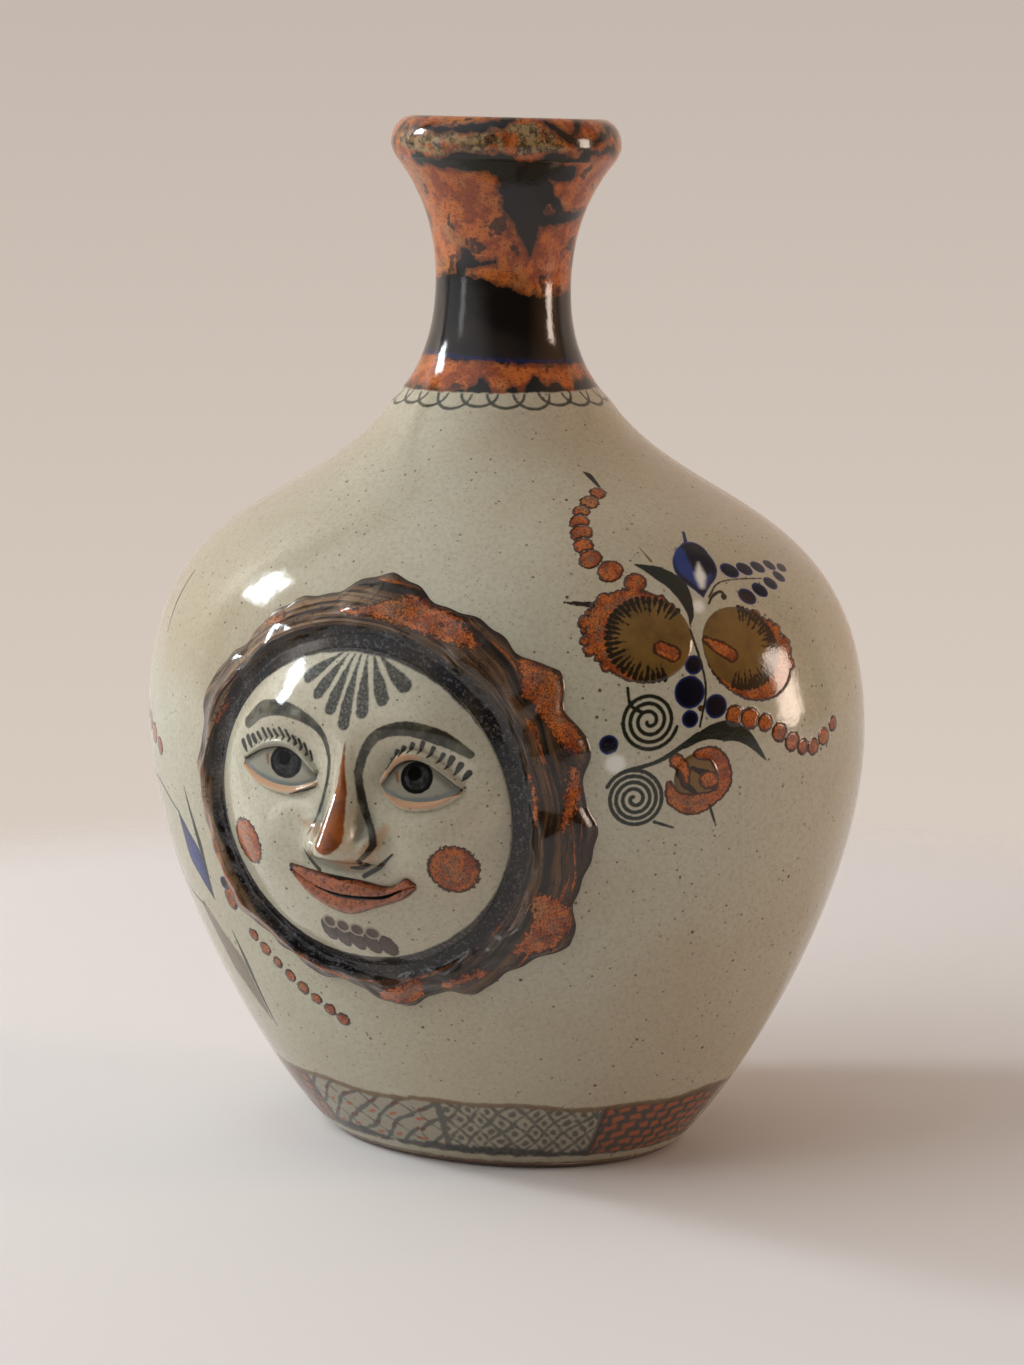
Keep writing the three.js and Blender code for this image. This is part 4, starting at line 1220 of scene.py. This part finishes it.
class Paint(Nodes):
    """Nodes of one glazed material. Noise scales are per metre, ink distances in millimetres."""

    def __init__(self, name):
        self.material = bpy.data.materials.new(name)
        self.material.use_nodes = True
        super().__init__(self.material.node_tree)
        self.shader = self.tree.nodes["Principled BSDF"]
        self.place = self.new("ShaderNodeTexCoord").outputs["Object"]

    def noise(self, scale, detail=3.0, roughness=0.55, place=None, distortion=0.0):
        inputs = {"Scale": scale, "Detail": detail, "Roughness": roughness, "Distortion": distortion,
                  "Vector": place or self.place}
        return self.new("ShaderNodeTexNoise", inputs).outputs["Fac"]

    def ink(self, name):
        return self.new("ShaderNodeAttribute", attribute_name=name).outputs["Fac"]

    def mottled(self, a, b, scale, start, end, detail=4.0, full=1.0):
        """Colour a that breaks to b in patches."""
        return self.mix(self.fade(self.noise(scale, detail), start, end), a, b, full)

    def veins(self, scale, width):
        """Thin lines where a noise crosses its middle."""
        away = self.math("ABSOLUTE", self.math("SUBTRACT", self.noise(scale, 4), 0.5))
        return self.fade(away, width, 0.0)

    def along(self, name, stretch, pitch):
        """Place whose first axis follows an ink, so that a noise there runs in streaks."""
        across = self.new("ShaderNodeCombineXYZ", {"X": self.math("MULTIPLY", self.ink(name), pitch)})
        slow = self.vector_math("MULTIPLY", self.place, (stretch, stretch, stretch))
        return self.vector_math("ADD", slow, across.outputs[0])

    def wobbled(self, name, reach, scale, detail=3.0):
        """Distance to an ink, its edge broken up by up to half of reach."""
        shift = self.math("SUBTRACT", self.noise(scale, detail), 0.5)
        return self.math("ADD", self.ink(name), self.math("MULTIPLY", shift, reach))

    def over(self, colour, name, ink_colour, reach=0.4, scale=900, soft=0.16, full=1.0):
        return self.mix(self.fade(self.wobbled(name, reach, scale), soft, -soft), colour, ink_colour, full)

    def layers(self, colour, rows):
        """Inks over a colour: ink, its colour, reach and scale of its ragged edge, softness, strength."""
        for row in rows:
            colour = self.over(colour, *row)
        return colour

    def iron(self):
        """Iron red that breaks from orange to red brown and ochre, with dark grains."""
        red = self.mottled((0.46, 0.12, 0.022), (0.25, 0.05, 0.012), 240, 0.42, 0.62)
        red = self.mottled(red, (0.38, 0.17, 0.055), 95, 0.5, 0.68, 5, 0.75)
        return self.mottled(red, (0.09, 0.026, 0.010), 1500, 0.52, 0.64, 2, 0.7)

    def orange(self, colour, name, edge=0.85, reach=1.5):
        """Iron red dab with a ragged dark rim and mauve crystals where it is thick."""
        away = self.wobbled(name, reach, 950, 4)
        thick = self.math("MULTIPLY", self.fade(away, -1.2, -2.4), self.fade(self.noise(420, 4), 0.45, 0.56))
        heart = self.mix(thick, self.iron(), (0.17, 0.095, 0.062), 0.6)
        heart = self.mottled(heart, (0.05, 0.017, 0.008), 2300, 0.53, 0.62, 2, 0.75)
        rim = self.mix(self.fade(away, -edge, -0.4), heart, (0.03, 0.012, 0.006), 0.92)
        return self.mix(self.fade(away, 0.16, -0.1), colour, rim)

    def stoneware(self, pale, warm, specks=1.0):
        """Grey-green glaze that breaks to tan, with iron specks that melted through it."""
        colour = self.mottled(pale, warm, 13, 0.36, 0.66)
        colour = self.mottled(colour, DEEP, 900, 0.35, 0.75, 3, 0.3)
        for scale, size, chance, strength in SPECKS:
            cell = self.new("ShaderNodeTexVoronoi", {"Scale": scale, "Vector": self.place})
            split = self.new("ShaderNodeSeparateColor", {"Color": cell.outputs["Color"]})
            chosen = self.fade(split.outputs[0], chance, chance + 0.4)
            spot = self.fade(cell.outputs["Distance"], size * 1.5, size * 0.5)
            colour = self.mix(self.math("MULTIPLY", spot, chosen), colour, SPECK, strength * specks)
        return colour

    def finish(self, colour, roughness=0.09, ripple=0.1, raised=None):
        """Glossy skin with soft waves; raised is a share of thicker glaze."""
        gloss = self.math("MULTIPLY", self.fade(self.noise(260), 0.2, 0.8), 0.08)
        # Height, strength and distance of each layer of waves
        layers = [(self.noise(75, 2), ripple, 0.002), (self.noise(420, 2), 0.12, 0.0003),
                  (self.noise(1700, 2), 0.1, 0.0002)]
        if raised:
            layers.append((raised, 0.7, 0.0004))
        below = {}
        for height, strength, distance in layers:
            inputs = {"Strength": strength, "Distance": distance, "Height": height, **below}
            below = {"Normal": self.new("ShaderNodeBump", inputs).outputs["Normal"]}
        skin = {"Base Color": colour, "IOR": GLAZE_IOR, **below}
        skin["Roughness"] = self.math("ADD", gloss, roughness)
        for key, value in skin.items():
            self.put(self.shader.inputs[key], value)
        return self.material


# The painted band and the bare clay at the very foot
BAND_LAYERS = [
    ("band", (0.19, 0.175, 0.135), 0.6, 500, 0.3, 0.5),
    ("night", (0.022, 0.02, 0.018), 2.6, 260, 0.6, 0.88),
    ("dab", (0.34, 0.085, 0.028), 1.6, 500, 0.35, 0.85),
    ("hatch", (0.02, 0.022, 0.022), 1.8, 420, 0.4, 0.75),
    ("border", (0.13, 0.072, 0.028), 1.2, 300, 0.4, 0.85),
    ("foot", (0.12, 0.055, 0.027), 0.5, 400, 0.25),
]


def body_material():
    paint = Paint("body_glaze")
    heart = paint.mottled((0.165, 0.094, 0.022), (0.11, 0.06, 0.015), 160, 0.35, 0.7)
    berry = paint.mix(paint.fade(paint.ink("cobalt"), -0.8, -0.15), NAVY, COBALT)
    colour = paint.over(paint.stoneware(PALE, WARM), "wash", (0.13, 0.095, 0.06), 1.6, 240, 0.7, 0.85)
    colour = paint.layers(paint.orange(colour, "orange"), [
        ("brown", heart),
        ("fringe", (0.016, 0.009, 0.004), 1.2),
    ])
    colour = paint.layers(paint.orange(colour, "spot", 0.8, 1.2), [
        ("cobalt", berry, 0.3, 700),
        ("azure", (0.012, 0.035, 0.17), 0.8, 500, 0.7, 0.9),
        ("white", (0.68, 0.68, 0.62), 0.8, 600, 0.9),
        ("line", LINE),
        *BAND_LAYERS,
    ])
    raised = paint.math("MINIMUM", paint.wobbled("orange", 0.6, 1000, 4), paint.ink("brown"))
    return paint.finish(colour, 0.06, raised=paint.fade(raised, 0.3, -0.8))


def slab_material():
    paint = Paint("foot_clay")
    return paint.finish(paint.layers(paint.stoneware(PALE, WARM), BAND_LAYERS), 0.2)


def neck_material():
    paint = Paint("neck_glaze")
    olive = paint.mottled((0.29, 0.20, 0.095), (0.10, 0.056, 0.024), 500, 0.42, 0.6, 5)
    olive = paint.mix(paint.fade(paint.noise(170), 0.52, 0.58), olive, paint.iron(), 0.85)
    olive = paint.mix(paint.veins(260, 0.03), olive, (0.012, 0.009, 0.007), 0.85)
    colour = paint.over(paint.iron(), "olive", olive, 3.0, 300, 0.5)
    colour = paint.mottled(colour, (0.02, 0.012, 0.008), 150, 0.6, 0.63, 5, 0.85)
    dark = paint.mottled(BLACK, (0.016, 0.011, 0.008), 90, 0.45, 0.7, 3)
    away = paint.wobbled("black", 5.0, 300, 6)
    colour = paint.mix(paint.fade(away, 1.6, 0.1), colour, (0.09, 0.028, 0.012), 0.75)
    colour = paint.mix(paint.fade(away, 0.25, -0.3), colour, dark)
    return paint.finish(paint.layers(colour, [
        ("bare", paint.stoneware(PALE, WARM), 1.2, 500, 0.3),
        ("blue", (0.006, 0.009, 0.06), 0.5, 400, 0.35, 0.8),
        ("loops", LINE, 0.3, 700, 0.2, 0.92),
    ]), 0.06)


def groove_colour(paint):
    dark = paint.mottled((0.004, 0.0045, 0.006), (0.04, 0.026, 0.016), 70, 0.5, 0.66, 4, 0.8)
    # Pale grey grains: partly the glaze's own grain, partly painted sheen
    return paint.mottled(dark, (0.085, 0.085, 0.088), 1100, 0.5, 0.68, 3, 0.75)


def ring_material():
    paint = Paint("ray_glaze")
    folds = paint.along("out", 26, 0.55)
    streak = paint.fade(paint.noise(1.0, 5, 0.6, folds, 0.6), 0.46, 0.64)
    colour = paint.mix(streak, (0.012, 0.009, 0.007), (0.085, 0.042, 0.018))
    light = paint.fade(paint.noise(1.3, 4, 0.6, folds, 0.4), 0.46, 0.62)
    colour = paint.mix(paint.math("MULTIPLY", light, paint.ink("brown")), colour, (0.30, 0.185, 0.10), 0.9)
    embers = paint.fade(paint.noise(0.8, 4, 0.6, folds, 1.0), 0.6, 0.64)
    colour = paint.mix(embers, colour, paint.iron(), 0.8)
    colour = paint.orange(colour, "orange", 0.7, 4.6)
    colour = paint.mix(paint.veins(150, 0.016), colour, (0.012, 0.009, 0.008), 0.8)
    return paint.finish(paint.layers(colour, [
        ("outer", (0.015, 0.010, 0.007), 2.0, 300, 0.6, 0.85),
        ("inner", groove_colour(paint), 2.6, 200, 0.8, 0.95),
    ]), 0.09, 0.14)


def face_material():
    paint = Paint("face_glaze")
    colour = paint.stoneware(FACE_PALE, FACE_WARM)
    # Hollows darken: partly glaze pooled there, partly painted shade
    colour = paint.mix(paint.fade(paint.ink("pool"), 0.05, 1.3), colour, POOLED_GLAZE_AND_SHADE, 0.75)
    fan_grey = paint.mottled((0.004, 0.005, 0.004), (0.08, 0.085, 0.075), 1400, 0.45, 0.64, 2)
    brow = paint.mottled((0.005, 0.006, 0.003), (0.075, 0.075, 0.05), 200, 0.42, 0.64)
    dab = paint.mix(paint.fade(paint.ink("brown"), -0.3, -0.7), (0.3, 0.26, 0.2), (0.07, 0.042, 0.03))
    thick = paint.fade(paint.ink("smudge"), -0.2, -0.9)
    lump = paint.mix(thick, (0.01, 0.006, 0.004), (0.042, 0.021, 0.015))
    ridge = paint.mottled((0.26, 0.07, 0.009), (0.15, 0.038, 0.007), 260, 0.4, 0.65, 3)
    colour = paint.layers(colour, [
        ("grey", (0.16, 0.155, 0.115), 0.8, 400, 0.9, 0.65),
        ("blush", (0.36, 0.17, 0.07), 1.6, 300, 1.2, 0.65),
        ("peach", (0.45, 0.22, 0.10), 0.8, 500, 0.6, 0.8),
        ("fan", fan_grey, 0.6, 700, 0.3, 0.92),
        ("line", brow, 0.5, 700, 0.22, 0.95),
        # Lashes and dark lines; under the upper lids the line is also painted shadow
        ("lash", (0.008, 0.009, 0.008), 0.3, 900, 0.16, 0.94),
        ("smudge", lump, 1.2, 500, 0.2, 0.95),
        ("brown", dab, 1.0, 700, 0.2, 0.95),
    ])
    return paint.finish(paint.layers(paint.orange(colour, "orange", 1.0, 2.4), [
        ("ridge", ridge, 0.6, 700, 0.25),
        ("edge", groove_colour(paint), 0.9, 260, 0.3, 0.95),
    ]), 0.08, 0.05)


def eye_material():
    paint = Paint("eye_glaze")
    iris = paint.mottled((0.013, 0.014, 0.014), (0.042, 0.044, 0.042), 600, 0.4, 0.66)
    colour = paint.layers(paint.stoneware((0.28, 0.275, 0.225), (0.23, 0.22, 0.175), 0.5), [
        ("shade", (0.09, 0.085, 0.065), 0.8, 400, 0.9, 0.75),
        ("edge", (0.10, 0.135, 0.15), 0.4, 500, 0.5, 0.7),
        ("corner", (0.17, 0.075, 0.025), 0.4, 700, 0.3, 0.85),
        ("iris", iris, 0.3, 700),
        ("rim", (0.006, 0.006, 0.006), 0.4, 700),
        ("pupil", (0.002, 0.002, 0.002), 0.5, 600, 0.3),
    ])
    paint.put(paint.shader.inputs["Specular IOR Level"], 0.14)
    return paint.finish(colour, 0.07, 0.05)


def lip_material():
    paint = Paint("lip_glaze")
    colour = paint.mottled((0.34, 0.105, 0.045), (0.2, 0.062, 0.03), 330, 0.42, 0.68)
    colour = paint.mottled(colour, (0.05, 0.02, 0.013), 1100, 0.51, 0.63, 3, 0.75)
    rim = paint.fade(paint.wobbled("rim", 1.4, 900), 0.75, 0.2)
    colour = paint.mix(rim, colour, (0.035, 0.013, 0.008), 0.75)
    return paint.finish(paint.over(colour, "line", (0.012, 0.008, 0.006), 0.6), 0.1, 0.08)


build_body(body_material())
build_slab(slab_material())
neck_glaze = neck_material()
build_neck(neck_glaze)
build_rim(neck_glaze)
build_ring(ring_material())
build_face(face_material())
eye_glaze = eye_material()
for node, lower, upper, iris in zip(("left_eyeball", "right_eyeball"), LOWER_LIDS, UPPER_LIDS, IRISES):
    build_eye(node, lower, upper, iris, eye_glaze)
lip_glaze = lip_material()
build_lip("upper_lip", MOUTH_TOP, lip_glaze)
build_lip("lower_lip", MOUTH_FOOT, lip_glaze)

# Stage: a pale table top that sweeps up into a pale wall, turned towards the camera; metres from here on
VIEW_TURN = radians(27.1)
STAGE_HALF = 2.4
STAGE_FRONT = -1.4
STAGE_BACK = 0.46
STAGE_COVE = 0.12
STAGE_TOP = 2.2
TABLE = (0.71, 0.695, 0.69)
BACKDROP = (0.78, 0.69, 0.62)
# For the camera the table top fades out between these radii, so that the wall hides no view
TABLE_EDGE = (0.33, 0.45)
# What the camera sees behind it: colours low and high, and how steeply down and up it looks there
WALL_LOW = (0.69, 0.6, 0.53)
WALL_HIGH = (0.56, 0.485, 0.43)
WALL_FADE = (-0.22, 0.03)


def stage_material():
    paint = Paint("stage")
    rise = paint.fade(paint.height_of(paint.place), 0.0, 0.1)
    paint.put(paint.shader.inputs["Base Color"], paint.mix(rise, TABLE, BACKDROP))
    paint.put(paint.shader.inputs["Roughness"], 0.85)
    away = paint.vector_math("LENGTH", paint.place, output="Value")
    gone = paint.math("MULTIPLY", paint.fade(away, *TABLE_EDGE), paint.camera_ray())
    clear = paint.new("ShaderNodeBsdfTransparent").outputs[0]
    cover = paint.new("ShaderNodeMixShader", {0: gone, 1: paint.shader.outputs[0], 2: clear})
    paint.put(paint.tree.nodes["Material Output"].inputs["Surface"], cover.outputs[0])
    return paint.material


def build_stage():
    profile = [(STAGE_FRONT, 0.0), (STAGE_BACK / 2, 0.0)]
    for angle in np.linspace(0, pi / 2, 16):
        profile.append((STAGE_BACK + STAGE_COVE * sin(angle), STAGE_COVE * (1 - cos(angle))))
    profile.append((STAGE_BACK + STAGE_COVE, STAGE_TOP))
    points = []
    for side in (-STAGE_HALF, STAGE_HALF):
        for back, height in profile:
            x = side * cos(VIEW_TURN) - back * sin(VIEW_TURN)
            y = side * sin(VIEW_TURN) + back * cos(VIEW_TURN)
            points.append((x, y, height))
    mesh = bpy.data.meshes.new("table_and_wall")
    faces = quads(numbered(len(points), len(profile)).T)
    mesh.from_pydata(points, [], faces)
    mesh.polygons.foreach_set("use_smooth", np.ones(len(faces), bool))
    mesh.materials.append(stage_material())
    stage = add("table_and_wall", mesh)


def direction(azimuth, elevation):
    """Way to a light; azimuth is degrees from the front towards the viewer's right."""
    az, el = radians(azimuth), radians(elevation)
    return Vector((sin(az) * cos(el), -cos(az) * cos(el), sin(el)))


# Soft lights: name, azimuth, elevation, distance, size, power, colour, whether the glaze mirrors it.
# The room's pale left side lights the vase but is too dim to mirror
LIGHTS = [
    ("window_left", -76, 28, 1.6, (0.24, 0.32), 10.5, (0.88, 0.96, 1.0), True),
    ("room_left", -40, 40, 1.5, (1.2, 1.1), 8.8, (1.0, 0.99, 0.96), False),
    ("window_far", -44, 9, 2.0, (0.28, 0.8), 1.5, (1.0, 0.98, 0.92), True),
    ("lamp_right", 111, 9, 1.5, (0.30, 0.58), 6.8, (1.0, 0.8, 0.66), True),
]
# Soft glows of the room: azimuth, elevation, cosine where the glow begins, colour at its heart
GLOWS = [
    (-62, 34, 0.3, (0.75, 0.77, 0.8)),
    (125, 14, 0.55, (0.5, 0.25, 0.115)),
    (0, 90, 0.2, (0.2, 0.19, 0.19)),
]
ROOM = (0.055, 0.036, 0.021)


def light_from(name, azimuth, elevation, distance, size, power, colour, mirrored):
    """Soft rectangular light that looks at the middle of the vase."""
    lamp = bpy.data.lights.new(name, "AREA")
    lamp.shape = "RECTANGLE"
    lamp.size, lamp.size_y = size
    lamp.energy = power
    lamp.color = colour
    item = add(name, lamp)
    way = direction(azimuth, elevation)
    item.location = Vector((0, 0, TOP / 2 * MM)) + way * distance
    item.rotation_euler = way.to_track_quat("Z", "Y").to_euler()
    item.visible_glossy = mirrored


def light_room():
    world = bpy.data.worlds.new("room")
    world.use_nodes = True
    nodes = Nodes(world.node_tree)
    way = nodes.new("ShaderNodeTexCoord").outputs["Generated"]
    colour = ROOM
    for azimuth, elevation, start, tint in GLOWS:
        toward = nodes.vector_math("DOT_PRODUCT", way, direction(azimuth, elevation), "Value")
        colour = nodes.mix(nodes.fade(toward, start, 1.0), colour, tint, blend="ADD")
    wall = nodes.mix(nodes.fade(nodes.height_of(way), *WALL_FADE, "LINEAR"), WALL_LOW, WALL_HIGH)
    seen = nodes.mix(nodes.camera_ray(), colour, wall)
    nodes.put(world.node_tree.nodes["Background"].inputs["Color"], seen)
    bpy.context.scene.world = world


build_stage()
for light in LIGHTS:
    light_from(*light)
light_room()

# Camera as in the photo: a long lens at the rim's height, to the right of the face
CAMERA_PLACE = (0.3989, -0.7732, 0.27)
CAMERA_DOWN = 9.68
CAMERA_LENS = 87.43
camera_data = bpy.data.cameras.new("camera")
camera_data.sensor_fit = "VERTICAL"
camera_data.sensor_height = 36
camera_data.lens = CAMERA_LENS
camera = add("camera", camera_data)
camera.location = CAMERA_PLACE
camera.rotation_euler = (radians(90 - CAMERA_DOWN), 0, VIEW_TURN)
bpy.context.scene.camera = camera
bpy.context.scene.view_settings.view_transform = "Standard"
